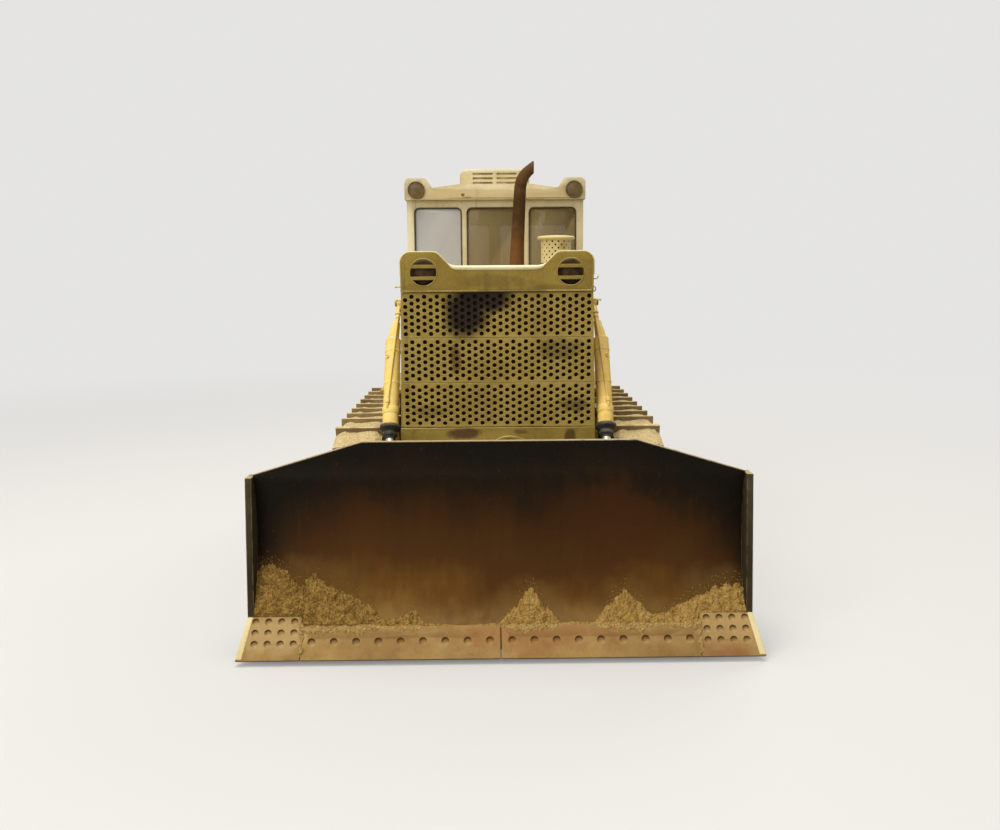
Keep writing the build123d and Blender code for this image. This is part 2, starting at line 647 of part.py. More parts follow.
def head_panel():
    """The top front plate with two raised ears and a barred lamp opening in each."""
    half = grille_half(GRILLE_TOP)
    outline = Polygon(
        (-half, GRILLE_TOP), (half, GRILLE_TOP), (half, EAR_TOP), (RAMP_HALF, EAR_TOP),
        (NOTCH_HALF, NOTCH_TOP), (-NOTCH_HALF, NOTCH_TOP), (-RAMP_HALF, EAR_TOP), (-half, EAR_TOP),
    )
    corners = outline.vertices().filter_by(lambda v: v.Y > GRILLE_TOP + NOTCH_RISE / 2)
    outline = fillet(corners, EAR_CORNER)
    for side in (-1, 1):
        window = Pos(side * LAMP_X, LAMP_HEIGHT) * Circle(LAMP_HOLE_RADIUS)
        for bar in (-1, 1):
            middle = LAMP_HEIGHT + bar * LAMP_BAR_SPACING / 2
            window -= Pos(side * LAMP_X, middle) * Rectangle(3 * LAMP_HOLE_RADIUS, LAMP_BAR)
        outline -= window
    return face_plate(outline, GUARD_STATION - HEAD_PROUD, PANEL_BACK)


def headlamps():
    """The two round lamps behind the head panel."""
    lamp = Rot(90, 0, 0) * Cylinder(LAMP_HOLE_RADIUS, LAMP_DEPTH)
    return both_sides(Pos(LAMP_X, PANEL_BACK + LAMP_DEPTH / 2, LAMP_HEIGHT) * lamp)


def apron():
    """The lower front plate below the grille, with a tow ring."""
    half = grille_half(GRILLE_BOTTOM)
    front = PANEL_BACK - APRON_THICKNESS
    plate = slab(-half, half, front, PANEL_BACK, HULL_TOP, GRILLE_BOTTOM - PANEL_GAP)
    ring = Circle(TOW_RING_RADIUS) - Circle(TOW_RING_RADIUS - 2 * TOW_RING_BAR)
    place = Pos(TOW_RING_X, TOW_RING_HEIGHT)
    return plate + face_plate(place * ring, front - 2 * TOW_RING_BAR, front)


def radiator_core():
    """The dark core behind the grille."""
    half = GUARD_HALF_WIDTH - GUARD_WALL
    front = PANEL_BACK + CORE_SETBACK
    return slab(-half, half, front, front + CORE_THICKNESS, HULL_TOP, HOOD_TOP - HOOD_SHEET)


def hood():
    """The bent top sheet between the guard and the cab."""
    outside = rectangle(-HOOD_HALF_WIDTH, HOOD_HALF_WIDTH, HOOD_SIDE_TOP, HOOD_TOP)
    inner = HOOD_HALF_WIDTH - HOOD_SHEET
    inside = rectangle(-inner, inner, HOOD_SIDE_TOP, HOOD_TOP - HOOD_SHEET)
    shoulder = outside.vertices().group_by(Axis.Y)[-1]
    outside = fillet(shoulder, HOOD_SHOULDER)
    crease = inside.vertices().group_by(Axis.Y)[-1]
    inside = fillet(crease, HOOD_SHOULDER - HOOD_SHEET)
    return face_plate(outside - inside, GUARD_REAR, CAB_FRONT)


def hood_side():
    """A louvred side panel of the hood, on the +X side."""
    inner = HOOD_HALF_WIDTH - HOOD_SHEET
    panel = slab(inner, HOOD_HALF_WIDTH, GUARD_REAR, CAB_FRONT, HULL_TOP, HOOD_SIDE_TOP)
    middle = (GUARD_REAR + CAB_FRONT) / 2
    rise = (HOOD_SIDE_TOP - PLATFORM_TOP) / (LOUVRE_COUNT + 1)
    for slot in range(LOUVRE_COUNT):
        height = PLATFORM_TOP + (slot + 1) * rise
        panel -= slab(
            inner, HOOD_HALF_WIDTH, middle - LOUVRE_LENGTH / 2, middle + LOUVRE_LENGTH / 2,
            height - LOUVRE_HEIGHT / 2, height + LOUVRE_HEIGHT / 2,
        )
    return panel


def exhaust_stack():
    """The leaning exhaust pipe with a bent open tip and a collar on the hood."""
    foot = HOOD_TOP + STACK_COLLAR_HEIGHT / 2
    tip_x = STACK_LEAN + STACK_TIP_RUN
    path = FilletPolyline(
        (0, 0, foot), (STACK_LEAN, 0, STACK_BEND_HEIGHT), (tip_x, 0, STACK_BEND_HEIGHT + STACK_TIP_RISE),
        radius=STACK_BEND_RADIUS,
    )
    start = Plane(origin=(0, 0, foot), z_dir=(STACK_LEAN, 0, STACK_BEND_HEIGHT - foot))
    pipe = sweep(start * (Circle(STACK_RADIUS) - Circle(STACK_RADIUS - STACK_WALL)), path=path)
    collar = Cylinder(STACK_COLLAR_RADIUS, STACK_COLLAR_HEIGHT)
    collar -= Cylinder(STACK_RADIUS - STACK_WALL / 2, STACK_COLLAR_HEIGHT)
    pipe += Pos(0, 0, HOOD_TOP + STACK_COLLAR_HEIGHT / 2) * collar
    return Pos(STACK_X, STACK_STATION, 0) * pipe


def pre_cleaner():
    """The round air pre-cleaner with its wide dished lid."""
    neck = HOOD_TOP + CLEANER_NECK_HEIGHT
    lid = neck + CLEANER_BODY_HEIGHT
    top = lid + CLEANER_CAP_HEIGHT
    outer = CLEANER_RADIUS + CLEANER_CAP_OVERHANG
    rim = outer - CLEANER_RIM
    section = Plane.XZ * Polygon(
        (0, HOOD_TOP), (CLEANER_NECK_RADIUS, HOOD_TOP), (CLEANER_NECK_RADIUS, neck), (CLEANER_RADIUS, neck),
        (CLEANER_RADIUS, lid), (outer, lid + CLEANER_DISH), (outer, top), (rim, top),
        (rim, top - CLEANER_DISH), (0, top - CLEANER_DISH),
    )
    return Pos(CLEANER_X, CLEANER_STATION, 0) * revolve(section, axis=Axis.Z)


def platform():
    """The floor plate under the cab with its fenders over the tracks."""
    return slab(
        -PLATFORM_HALF_WIDTH, PLATFORM_HALF_WIDTH, CAB_FRONT, PLATFORM_REAR,
        PLATFORM_TOP - PLATFORM_THICKNESS, PLATFORM_TOP,
    )


def front_windows():
    """The three window openings of the cab's front wall."""
    inner = CENTRE_WINDOW_HALF + FRONT_POST
    outer = CAB_HALF_WIDTH - CORNER_POST
    spans = [(-outer, -inner), (-CENTRE_WINDOW_HALF, CENTRE_WINDOW_HALF), (inner, outer)]
    return [rectangle(a, b, SILL_HEIGHT, FRONT_WINDOW_TOP, WINDOW_CORNER) for a, b in spans]


def rear_windows():
    """The two window openings of the cab's rear wall."""
    inner = REAR_POST / 2
    outer = CAB_HALF_WIDTH - CORNER_POST
    spans = [(-outer, -inner), (inner, outer)]
    return [rectangle(a, b, SILL_HEIGHT, REAR_WINDOW_TOP, WINDOW_CORNER) for a, b in spans]


def side_window(front, rear):
    """A window opening of a side wall, in (station, height)."""
    span = (front + SIDE_POST, rear - SIDE_POST)
    return rectangle(*span, SILL_HEIGHT, REAR_WINDOW_TOP, WINDOW_CORNER)


def side_sheet(sketch, x0, x1):
    """A plate with a sketch in (station, height), from x0 to x1."""
    return Pos(x0, 0, 0) * extrude(Plane.YZ * sketch, x1 - x0, dir=(1, 0, 0))


def cab_front():
    """The front wall of the cab with three windows."""
    wall = rectangle(-CAB_HALF_WIDTH, CAB_HALF_WIDTH, PLATFORM_TOP, CAB_EAVES)
    return face_plate(wall - front_windows(), CAB_FRONT, CAB_INSIDE_FRONT)


def cab_rear():
    """The rear wall of the cab with two windows."""
    wall = rectangle(-CAB_HALF_WIDTH, CAB_HALF_WIDTH, PLATFORM_TOP, CAB_EAVES)
    return face_plate(wall - rear_windows(), CAB_INSIDE_REAR, CAB_REAR)


def knuckles(first, count, step):
    """Hinge knuckles on the door's axis on the +X side, and the leaf behind each."""
    barrel = Part()
    for index in range(count):
        low = first + index * step
        barrel += post(HINGE_RADIUS, HINGE_X, QUARTER_FRONT, low, low + HINGE_KNUCKLE)
    return barrel


def hinge_rows():
    """Heights of the lower ends of the door's two hinges."""
    low = DOOR_BOTTOM + HINGE_INSET
    high = DOOR_TOP - HINGE_INSET - 2 * HINGE_KNUCKLE
    return low, high


def quarter():
    """The fixed rear part of the cab's side on the +X side, with half of each hinge."""
    wall = rectangle(QUARTER_FRONT, CAB_INSIDE_REAR, PLATFORM_TOP, CAB_EAVES)
    wall -= side_window(QUARTER_FRONT, CAB_INSIDE_REAR)
    panel = side_sheet(wall, CAB_INSIDE_X, CAB_HALF_WIDTH)
    for low in hinge_rows():
        leaf = slab(
            CAB_HALF_WIDTH, HINGE_X, QUARTER_FRONT, QUARTER_FRONT + 2 * HINGE_RADIUS,
            low, low + HINGE_KNUCKLE - PIN_FIT,
        )
        panel += leaf + post(HINGE_RADIUS, HINGE_X, QUARTER_FRONT, low, low + HINGE_KNUCKLE - PIN_FIT)
    return panel


def door():
    """The door on the +X side, hinged at its rear edge, with a handle and half of each hinge."""
    wall = rectangle(DOOR_FRONT, DOOR_REAR, DOOR_BOTTOM, DOOR_TOP)
    wall -= side_window(DOOR_FRONT, DOOR_REAR)
    panel = side_sheet(wall, CAB_INSIDE_X, CAB_HALF_WIDTH)
    for low in hinge_rows():
        base = low + HINGE_KNUCKLE
        leaf = slab(
            CAB_HALF_WIDTH, HINGE_X, QUARTER_FRONT - 2 * HINGE_RADIUS, QUARTER_FRONT,
            base, base + HINGE_KNUCKLE,
        )
        panel += leaf + post(HINGE_RADIUS, HINGE_X, QUARTER_FRONT, base, base + HINGE_KNUCKLE)
    grip = DOOR_FRONT + SIDE_POST / 2
    height = SILL_HEIGHT - 2 * HINGE_KNUCKLE
    panel += slab(
        CAB_HALF_WIDTH, HINGE_X, grip - LEVER_RADIUS, grip + LEVER_RADIUS,
        height - HINGE_KNUCKLE, height,
    )
    return panel


def door_glass():
    """The pane of the door on the +X side."""
    x0 = CAB_HALF_WIDTH - (CAB_WALL + GLASS_THICKNESS) / 2
    return side_sheet(side_window(DOOR_FRONT, DOOR_REAR), x0, x0 + GLASS_THICKNESS)


def cab_glass():
    """The fixed panes of the front, rear and quarter windows."""
    inset = (CAB_WALL - GLASS_THICKNESS) / 2
    panes = Part()
    for window in front_windows():
        panes += face_plate(window, CAB_FRONT + inset, CAB_FRONT + inset + GLASS_THICKNESS)
    for window in rear_windows():
        rear = CAB_INSIDE_REAR + inset
        panes += face_plate(window, rear, rear + GLASS_THICKNESS)
    x0 = CAB_INSIDE_X + inset
    pane = side_sheet(side_window(QUARTER_FRONT, CAB_INSIDE_REAR), x0, x0 + GLASS_THICKNESS)
    return panes + both_sides(pane)


def cab_roof():
    """The crowned roof with a visor whose raised ends carry lamps."""
    half = ROOF_HALF_WIDTH
    bend = half - ROOF_SHOULDER
    slab_top = CAB_EAVES + ROOF_SLAB
    crown = Polygon(
        (-half, CAB_EAVES), (half, CAB_EAVES), (half, slab_top), (bend, slab_top + ROOF_CROWN / 2),
        (bend / 2, ROOF_TOP), (-bend / 2, ROOF_TOP), (-bend, slab_top + ROOF_CROWN / 2), (-half, slab_top),
    )
    front = CAB_FRONT - VISOR_REACH
    roof = face_plate(crown, front + VISOR_THICKNESS, CAB_REAR + ROOF_OVERHANG)
    ear = half - VISOR_EAR_WIDTH
    foot = ear - VISOR_RAMP
    band = Polygon(
        (-half, CAB_EAVES), (half, CAB_EAVES), (half, VISOR_EAR_TOP), (ear, VISOR_EAR_TOP),
        (foot, VISOR_TOP), (-foot, VISOR_TOP), (-ear, VISOR_EAR_TOP), (-half, VISOR_EAR_TOP),
    )
    tips = band.vertices().filter_by(lambda v: v.Y > CAB_EAVES + VISOR_HEIGHT / 2)
    band = fillet(tips, VISOR_CORNER)
    roof += face_plate(band, front, front + VISOR_THICKNESS)
    for side in (-1, 1):
        seat = Pos(side * CAB_LAMP_X, CAB_LAMP_HEIGHT) * Circle(CAB_LAMP_RADIUS)
        roof -= face_plate(seat, front, front + CAB_LAMP_DEPTH / 2)
    return roof


def cab_lamps():
    """The two round lamps set in the visor."""
    front = CAB_FRONT - VISOR_REACH
    lamp = Pos(CAB_LAMP_X, CAB_LAMP_HEIGHT) * Circle(CAB_LAMP_RADIUS)
    return both_sides(face_plate(lamp, front - CAB_LAMP_DEPTH / 2, front + CAB_LAMP_DEPTH / 2))


def roof_vent():
    """The cooling unit on the roof with two groups of slots in its front."""
    front = CAB_FRONT + VENT_SETBACK
    plan = RectangleRounded(2 * VENT_HALF_WIDTH, VENT_LENGTH, VENT_CORNER)
    unit = extrude(Pos(0, front + VENT_LENGTH / 2, ROOF_TOP) * plan, VENT_HEIGHT)
    middle = (ROOF_TOP + VENT_TOP) / 2
    for side in (-1, 1):
        centre = side * VENT_SLOT_LENGTH * 0.6
        for slot in range(VENT_SLOTS):
            height = middle + (slot - (VENT_SLOTS - 1) / 2) * VENT_SLOT_PITCH
            unit -= slab(
                centre - VENT_SLOT_LENGTH / 2, centre + VENT_SLOT_LENGTH / 2, front, front + VENT_SLOT_HEIGHT,
                height - VENT_SLOT_HEIGHT / 2, height + VENT_SLOT_HEIGHT / 2,
            )
    return unit


def seat():
    """The operator's moulded seat on its pedestal."""
    front = CAB_INSIDE_FRONT + SEAT_FRONT_SETBACK
    rear = front + SEAT_LENGTH
    half = SEAT_HALF_WIDTH
    cushion = PLATFORM_TOP + SEAT_HEIGHT
    chair = slab(-half / 2, half / 2, front + SEAT_BACK, rear - SEAT_BACK / 2, PLATFORM_TOP, cushion)
    chair += slab(-half, half, front, rear, cushion, cushion + SEAT_CUSHION)
    top = cushion + SEAT_CUSHION + SEAT_BACK_HEIGHT
    chair += slab(-half, half, rear - SEAT_BACK, rear, cushion + SEAT_CUSHION, top)
    return chair


def console():
    """The dash against the front wall with two levers."""
    top = PLATFORM_TOP + CONSOLE_HEIGHT
    rear = CAB_INSIDE_FRONT + CONSOLE_DEPTH
    desk = slab(-CONSOLE_HALF_WIDTH, CONSOLE_HALF_WIDTH, CAB_INSIDE_FRONT, rear, PLATFORM_TOP, top)
    lever = post(LEVER_RADIUS, CONSOLE_HALF_WIDTH / 3, rear - CONSOLE_DEPTH / 2, top, top + LEVER_HEIGHT)
    return desk + both_sides(lever)


def fuel_tank():
    """The rounded tank behind the cab."""
    tank = slab(
        -TANK_HALF_WIDTH, TANK_HALF_WIDTH, CAB_REAR, CAB_REAR + TANK_LENGTH,
        PLATFORM_TOP, PLATFORM_TOP + TANK_HEIGHT,
    )
    rear_edges = tank.edges().filter_by(Axis.Z).group_by(Axis.Y)[-1]
    top_edge = tank.edges().filter_by(Axis.X).sort_by(lambda e: e.center().Y + e.center().Z)[-1]
    return fillet(list(rear_edges) + [top_edge], TANK_CORNER)


def edge_point(along, depth):
    """(station, height) on the cutting edge: along its slope, and behind its front face."""
    return along * EDGE_SINE + depth * EDGE_COSINE, EDGE_FRONT_Z + along * EDGE_COSINE - depth * EDGE_SINE


ARC_START = edge_point(EDGE_LENGTH, EDGE_THICKNESS)
ARC_CHORD = hypot(BLADE_TOP_STATION - ARC_START[0], BLADE_TOP - ARC_START[1])
ARC_LEAN = atan2(BLADE_TOP_STATION - ARC_START[0], BLADE_TOP - ARC_START[1])
ARC_HALF_TURN = radians(EDGE_RAKE) - ARC_LEAN
ARC_RADIUS = ARC_CHORD / (2 * sin(ARC_HALF_TURN))
ARC_CENTRE = (ARC_START[0] - ARC_RADIUS * EDGE_COSINE, ARC_START[1] + ARC_RADIUS * EDGE_SINE)


def arc_point(share, depth):
    """(station, height) on the moldboard: share of its arc, and behind its front face."""
    turn = -radians(EDGE_RAKE) + share * 2 * ARC_HALF_TURN
    radius = ARC_RADIUS + depth
    return ARC_CENTRE[0] + radius * cos(turn), ARC_CENTRE[1] + radius * sin(turn)


def curve_face(front_depth, back_depth, start):
    """The moldboard's section between two depths, from a place on the cutting edge."""
    front_foot = edge_point(start, EDGE_THICKNESS + front_depth)
    back_foot = edge_point(start, EDGE_THICKNESS + back_depth)
    edges = [
        Line(front_foot, arc_point(0, front_depth)),
        ThreePointArc(arc_point(0, front_depth), arc_point(0.5, front_depth), arc_point(1, front_depth)),
        Line(arc_point(1, front_depth), arc_point(1, back_depth)),
        ThreePointArc(arc_point(1, back_depth), arc_point(0.5, back_depth), arc_point(0, back_depth)),
        Line(arc_point(0, back_depth), back_foot),
        Line(back_foot, front_foot),
    ]
    return make_face(edges)


def blade_outline():
    """The blade's front outline, as a deep block."""
    half = BLADE_WIDTH / 2
    flat = half - BLADE_SLOPE_RUN
    outline = Polygon(
        (-half, 0), (half, 0), (half, BLADE_CORNER_TOP), (flat, BLADE_TOP),
        (-flat, BLADE_TOP), (-half, BLADE_CORNER_TOP),
    )
    return face_plate(outline, -BACK_BEAM_STATION, 3 * BACK_BEAM_STATION)


def board_sheet(x0, x1):
    """The moldboard's bent plate between two limits, before its outline is cut."""
    return side_sheet(curve_face(0, MOLDBOARD_THICKNESS, EDGE_LENGTH - EDGE_LAP), x0, x1)


def moldboard():
    """The curved pushing plate of the blade."""
    half = BLADE_WIDTH / 2 - END_PLATE
    return board_sheet(-half, half) & blade_outline()


def end_plate():
    """The flat plate that closes the blade's hollow on the +X side."""
    half = BLADE_WIDTH / 2
    low = edge_point(EDGE_LENGTH, EDGE_THICKNESS)
    top = (BLADE_TOP_STATION + END_PLATE_SETBACK, BLADE_CORNER_TOP)
    outline = [low, (low[0] + END_PLATE_DEPTH, low[1]), (top[0] + END_PLATE_DEPTH / 2, top[1]), top]
    return side_plate(outline, half - END_PLATE, half) - edge_sheet(end_bit_outline(), EDGE_THICKNESS)


def edge_plane():
    """The sloping front face of the cutting edge, with its lower edge at height zero."""
    return Plane(origin=(0, 0, EDGE_FRONT_Z), x_dir=(1, 0, 0), z_dir=(0, -EDGE_COSINE, EDGE_SINE))


def edge_sheet(sketch, depth):
    """A plate on the cutting edge's slope, its front face on the slope."""
    return extrude(edge_plane() * sketch, -depth)


def cutting_edge():
    """The two halves of the cutting edge with sunk bolt heads."""
    outer = BLADE_WIDTH / 2 - END_BIT_WIDTH
    half = rectangle(EDGE_SEAM / 2, outer, 0, EDGE_LENGTH)
    piece = edge_sheet(half, EDGE_THICKNESS)
    holes = []
    for bolt in range(EDGE_BOLT_COUNT // 2):
        across = (bolt + 0.5) * EDGE_BOLT_PITCH
        if across < outer - EDGE_BOLT_RADIUS:
            holes.append(Pos(across, EDGE_LENGTH / 2) * RegularPolygon(EDGE_BOLT_RADIUS, 6))
    piece -= edge_sheet(Sketch() + holes, EDGE_BOLT_DEPTH)
    return both_sides(piece)


def end_bit_outline():
    """The front outline of the end bit on the +X side, on the cutting edge's slope."""
    inner = BLADE_WIDTH / 2 - END_BIT_WIDTH
    outer = BLADE_WIDTH / 2
    top = EDGE_LENGTH + END_BIT_RISE
    return Polygon((inner, 0), (outer + END_BIT_FLARE, 0), (outer, top), (inner, top))


def end_bit():
    """The taller, flared end of the cutting edge on the +X side, seated on the moldboard."""
    plate = edge_sheet(end_bit_outline(), EDGE_THICKNESS)
    return plate - board_sheet(0, BLADE_WIDTH / 2)


def rod_lugs():
    """The pair of lugs and the pin for the lift rod on the +X side."""
    inside = ROD_EYE_WIDTH / 2 + ROD_LUG_PLAY
    reach = ROD_EYE_RADIUS
    outline = Polygon(
        (0, LOWER_BEAM_BOTTOM + LOWER_BEAM_HEIGHT / 2), (ROD_PIN_STATION, ROD_PIN_HEIGHT - reach),
        (ROD_PIN_STATION, ROD_PIN_HEIGHT + reach), (0, ROD_PIN_HEIGHT + 4 * reach),
    )
    outline += Pos(ROD_PIN_STATION, ROD_PIN_HEIGHT) * Circle(reach)
    lugs = Part()
    for side in (-1, 1):
        start = CYLINDER_X + side * (inside + ROD_LUG / 2) - ROD_LUG / 2
        lugs += side_sheet(outline, start, start + ROD_LUG)
    outer = inside + ROD_LUG
    pin = cross_shaft(
        ROD_PIN_RADIUS, CYLINDER_X - outer, CYLINDER_X + outer, ROD_PIN_STATION, ROD_PIN_HEIGHT
    )
    return lugs + pin


def brace_ends():
    """(station, height) of the tilt brace's blade end and its arm end."""
    blade_end = (BACK_BEAM_STATION + BRACE_STANDOFF, UPPER_BEAM_BOTTOM + UPPER_BEAM_HEIGHT / 2)
    station = BACK_BEAM_STATION + BRACE_REACH
    return blade_end, (station, arm_top(station) + BRACE_STANDOFF)


def arm_middle(station):
    """Height of the push arm's centre line at a station."""
    share = (station - BACK_BEAM_STATION) / (TRUNNION_STATION - BACK_BEAM_STATION)
    start = LOWER_BEAM_BOTTOM + LOWER_BEAM_HEIGHT / 2
    return start + share * (TRUNNION_HEIGHT - start)


def arm_top(station):
    """Height of the push arm's upper face at a station."""
    return arm_middle(station) + ARM_DEPTH / 2


def brace_lugs(place, foot, slope):
    """A pair of lugs with a pin, on a foot of (station, height) points."""
    inside = BRACE_WIDTH / 2 + BRACE_LUG_PLAY
    outline = Polygon(*foot) + Pos(*place) * Circle(BRACE_EYE_RADIUS * slope)
    lugs = Part()
    for side in (-1, 1):
        start = ARM_X + side * (inside + BRACE_LUG / 2) - BRACE_LUG / 2
        lugs += side_sheet(outline, start, start + BRACE_LUG)
    outer = inside + BRACE_LUG
    return lugs + cross_shaft(BRACE_PIN_RADIUS, ARM_X - outer, ARM_X + outer, *place)


def blade_back():
    """The beams, ribs and lugs welded behind the moldboard."""
    half = BACK_BEAM_HALF
    frame = slab(
        -half, half, 0, BACK_BEAM_STATION, LOWER_BEAM_BOTTOM, LOWER_BEAM_BOTTOM + LOWER_BEAM_HEIGHT
    )
    frame += slab(
        -half, half, 0, BACK_BEAM_STATION, UPPER_BEAM_BOTTOM, UPPER_BEAM_BOTTOM + UPPER_BEAM_HEIGHT
    )
    low = LOWER_BEAM_BOTTOM + LOWER_BEAM_HEIGHT
    for rib in range(RIB_COUNT):
        x = (rib - (RIB_COUNT - 1) / 2) * RIB_SPACING
        frame += slab(
            x - RIB_THICKNESS / 2, x + RIB_THICKNESS / 2, 0, BACK_BEAM_STATION, low, UPPER_BEAM_BOTTOM
        )
    frame += both_sides(rod_lugs())
    place, _ = brace_ends()
    reach = BRACE_EYE_RADIUS
    foot = [
        (BACK_BEAM_STATION - reach, place[1] - reach), (place[0], place[1] - reach),
        (place[0], place[1] + reach), (BACK_BEAM_STATION - reach, place[1] + reach),
    ]
    frame += both_sides(brace_lugs(place, foot, 1))
    before = curve_face(-3 * BACK_BEAM_STATION / 2, MOLDBOARD_THICKNESS, -EDGE_LENGTH)
    return frame - side_sheet(before, -BLADE_WIDTH, BLADE_WIDTH)


def push_arm():
    """The long arm on the +X side from the blade to its trunnion on the track frame."""
    start = arm_middle(BACK_BEAM_STATION)
    half = ARM_DEPTH / 2
    outline = Polygon(
        (BACK_BEAM_STATION, start - half), (TRUNNION_STATION, TRUNNION_HEIGHT - ARM_EYE_RADIUS),
        (TRUNNION_STATION, TRUNNION_HEIGHT + ARM_EYE_RADIUS), (BACK_BEAM_STATION, start + half),
    )
    outline += Pos(TRUNNION_STATION, TRUNNION_HEIGHT) * Circle(ARM_EYE_RADIUS)
    outline -= Pos(TRUNNION_STATION, TRUNNION_HEIGHT) * Circle(TRUNNION_RADIUS + PIN_FIT)
    arm = side_sheet(outline, ARM_INNER_X, ARM_INNER_X + ARM_WIDTH)
    _, place = brace_ends()
    reach = BRACE_EYE_RADIUS
    foot = [
        (place[0] - reach, arm_middle(place[0])), (place[0] + reach, arm_middle(place[0])),
        (place[0] + reach, place[1]), (place[0] - reach, place[1]),
    ]
    return arm + brace_lugs(place, foot, 1)


def tilt_brace():
    """The round strut from the arm to the blade's upper beam on the +X side."""
    blade_end, arm_end = brace_ends()
    start = (ARM_X, *blade_end)
    end = (ARM_X, *arm_end)
    bar = strut(BRACE_RADIUS / 1.6, start, end)
    middle = (Vector(*start) + Vector(*end)) / 2
    way = (Vector(*end) - Vector(*start)).normalized()
    low = middle - way * (BRACE_SLEEVE_LENGTH / 2)
    high = middle + way * (BRACE_SLEEVE_LENGTH / 2)
    bar += strut(BRACE_SLEEVE_RADIUS, tuple(low), tuple(high))
    half = BRACE_WIDTH / 2
    for place in (blade_end, arm_end):
        bar += cross_shaft(BRACE_EYE_RADIUS, ARM_X - half, ARM_X + half, *place)
    for place in (blade_end, arm_end):
        bar -= cross_shaft(BRACE_PIN_RADIUS + PIN_FIT, ARM_X - half, ARM_X + half, *place)
    return bar


def cylinder_point(distance):
    """A point on the lift cylinder's axis, measured down from its pivot."""
    share = distance / CYLINDER_LENGTH
    station = LIFT_PIVOT_STATION - share * CYLINDER_RUN
    return CYLINDER_X, station, LIFT_PIVOT_HEIGHT - share * CYLINDER_RISE


def barrel():
    """The lift cylinder's barrel on the +X side with its neck and eye."""
    half = LIFT_EYE_WIDTH / 2
    body = strut(BARREL_RADIUS, cylinder_point(BARREL_NECK), cylinder_point(BARREL_LENGTH - GLAND_LENGTH))
    body += strut(BARREL_NECK_RADIUS, cylinder_point(0), cylinder_point(BARREL_NECK + BARREL_HEAD / 2))
    pivot = (LIFT_PIVOT_STATION, LIFT_PIVOT_HEIGHT)
    body += cross_shaft(LIFT_EYE_RADIUS, CYLINDER_X - half, CYLINDER_X + half, *pivot)
    head = BARREL_NECK + BARREL_HEAD
    body -= strut(ROD_RADIUS + PIN_FIT, cylinder_point(head), cylinder_point(BARREL_LENGTH))
    body -= cross_shaft(LIFT_PIVOT_RADIUS + PIN_FIT, CYLINDER_X - half, CYLINDER_X + half, *pivot)
    return body


def gland():
    """The dark sealing collar at the barrel's lower end on the +X side, wide above and narrow below."""
    top = cylinder_point(BARREL_LENGTH - GLAND_LENGTH)
    step = cylinder_point(BARREL_LENGTH - GLAND_LENGTH + GLAND_FLANGE)
    low = cylinder_point(BARREL_LENGTH)
    collar = strut(GLAND_RADIUS, top, step) + strut(GLAND_NECK_RADIUS, step, low)
    return collar - strut(ROD_RADIUS + PIN_FIT, top, low)


def rod():
    """The lift rod on the +X side with a loose eye round the blade's pin."""
    start = (CYLINDER_X, ROD_PIN_STATION, ROD_PIN_HEIGHT)
    bar = strut(ROD_RADIUS, start, cylinder_point(BARREL_LENGTH - ROD_INSERT))
    half = ROD_EYE_WIDTH / 2
    place = (ROD_PIN_STATION, ROD_PIN_HEIGHT)
    eye = cross_shaft(ROD_EYE_RADIUS, CYLINDER_X - half, CYLINDER_X + half, *place)
    reach = ROD_RADIUS + half
    hole = cross_shaft(ROD_PIN_RADIUS + ROD_EYE_PLAY, CYLINDER_X - reach, CYLINDER_X + reach, *place)
    return bar + eye - hole


def lift_brackets():
    """The pins on the guard's sides that carry the lift cylinders."""
    half = LIFT_EYE_WIDTH / 2
    boss_end = CYLINDER_X - half - ROLLER_PLAY
    pin_end = CYLINDER_X + half + ROLLER_PLAY
    pivot = (LIFT_PIVOT_STATION, LIFT_PIVOT_HEIGHT)
    bracket = cross_shaft(LIFT_EYE_RADIUS, GUARD_HALF_WIDTH, boss_end, *pivot)
    bracket += cross_shaft(LIFT_PIVOT_RADIUS, GUARD_HALF_WIDTH, pin_end, *pivot)
    bracket += cross_shaft(LIFT_CAP_RADIUS, pin_end, pin_end + LIFT_CAP_WIDTH, *pivot)
    return both_sides(bracket)


def left(shape):
    """The +X piece itself, the machine's left."""
    return shape


def right(shape):
    """The mirror image of a +X piece, the machine's right."""
    return mirror(shape, about=Plane.YZ)


def pieces():
    """Every node of the model by name."""
    nodes = {
        "main_frame": main_frame(),
        "transmission_case": transmission_case(),
        "cross_beams": cross_beams(),
        "drawbar": drawbar(),
        "final_drives": both_sides(final_drive()),
        "sprockets": both_sides(sprocket()),
        "idlers": both_sides(idler()),
        "rollers": both_sides(rollers()),
        "track_frames": both_sides(track_frame()),
        "radiator_guard": radiator_guard(),
        "grille_panels": Part() + [grille_panel(number) for number in range(GRILLE_PANELS)],
        "head_panel": head_panel(),
        "headlamps": headlamps(),
        "apron": apron(),
        "radiator_core": radiator_core(),
        "lift_brackets": lift_brackets(),
        "hood": hood(),
        "hood_sides": both_sides(hood_side()),
        "exhaust_stack": exhaust_stack(),
        "pre_cleaner": pre_cleaner(),
        "platform": platform(),
        "cab_front": cab_front(),
        "cab_rear": cab_rear(),
        "cab_quarters": both_sides(quarter()),
        "cab_roof": cab_roof(),
        "cab_glass": cab_glass(),
        "cab_lamps": cab_lamps(),
        "roof_vent": roof_vent(),
        "seat": seat(),
        "console": console(),
        "fuel_tank": fuel_tank(),
        "moldboard": moldboard(),
        "end_plates": both_sides(end_plate()),
        "cutting_edge": cutting_edge(),
        "end_bits": both_sides(end_bit()),
        "blade_back": blade_back(),
        "push_arms": both_sides(push_arm()),
        "tilt_braces": both_sides(tilt_brace()),
    }
    handed = {
        "track": track_loop(),
        "barrel": barrel(),
        "gland": gland(),
        "rod": rod(),
        "door": door(),
        "door_glass": door_glass(),
    }
    for name, shape in handed.items():
        nodes[name + "_left"] = left(shape)
        nodes[name + "_right"] = right(shape)
    return nodes


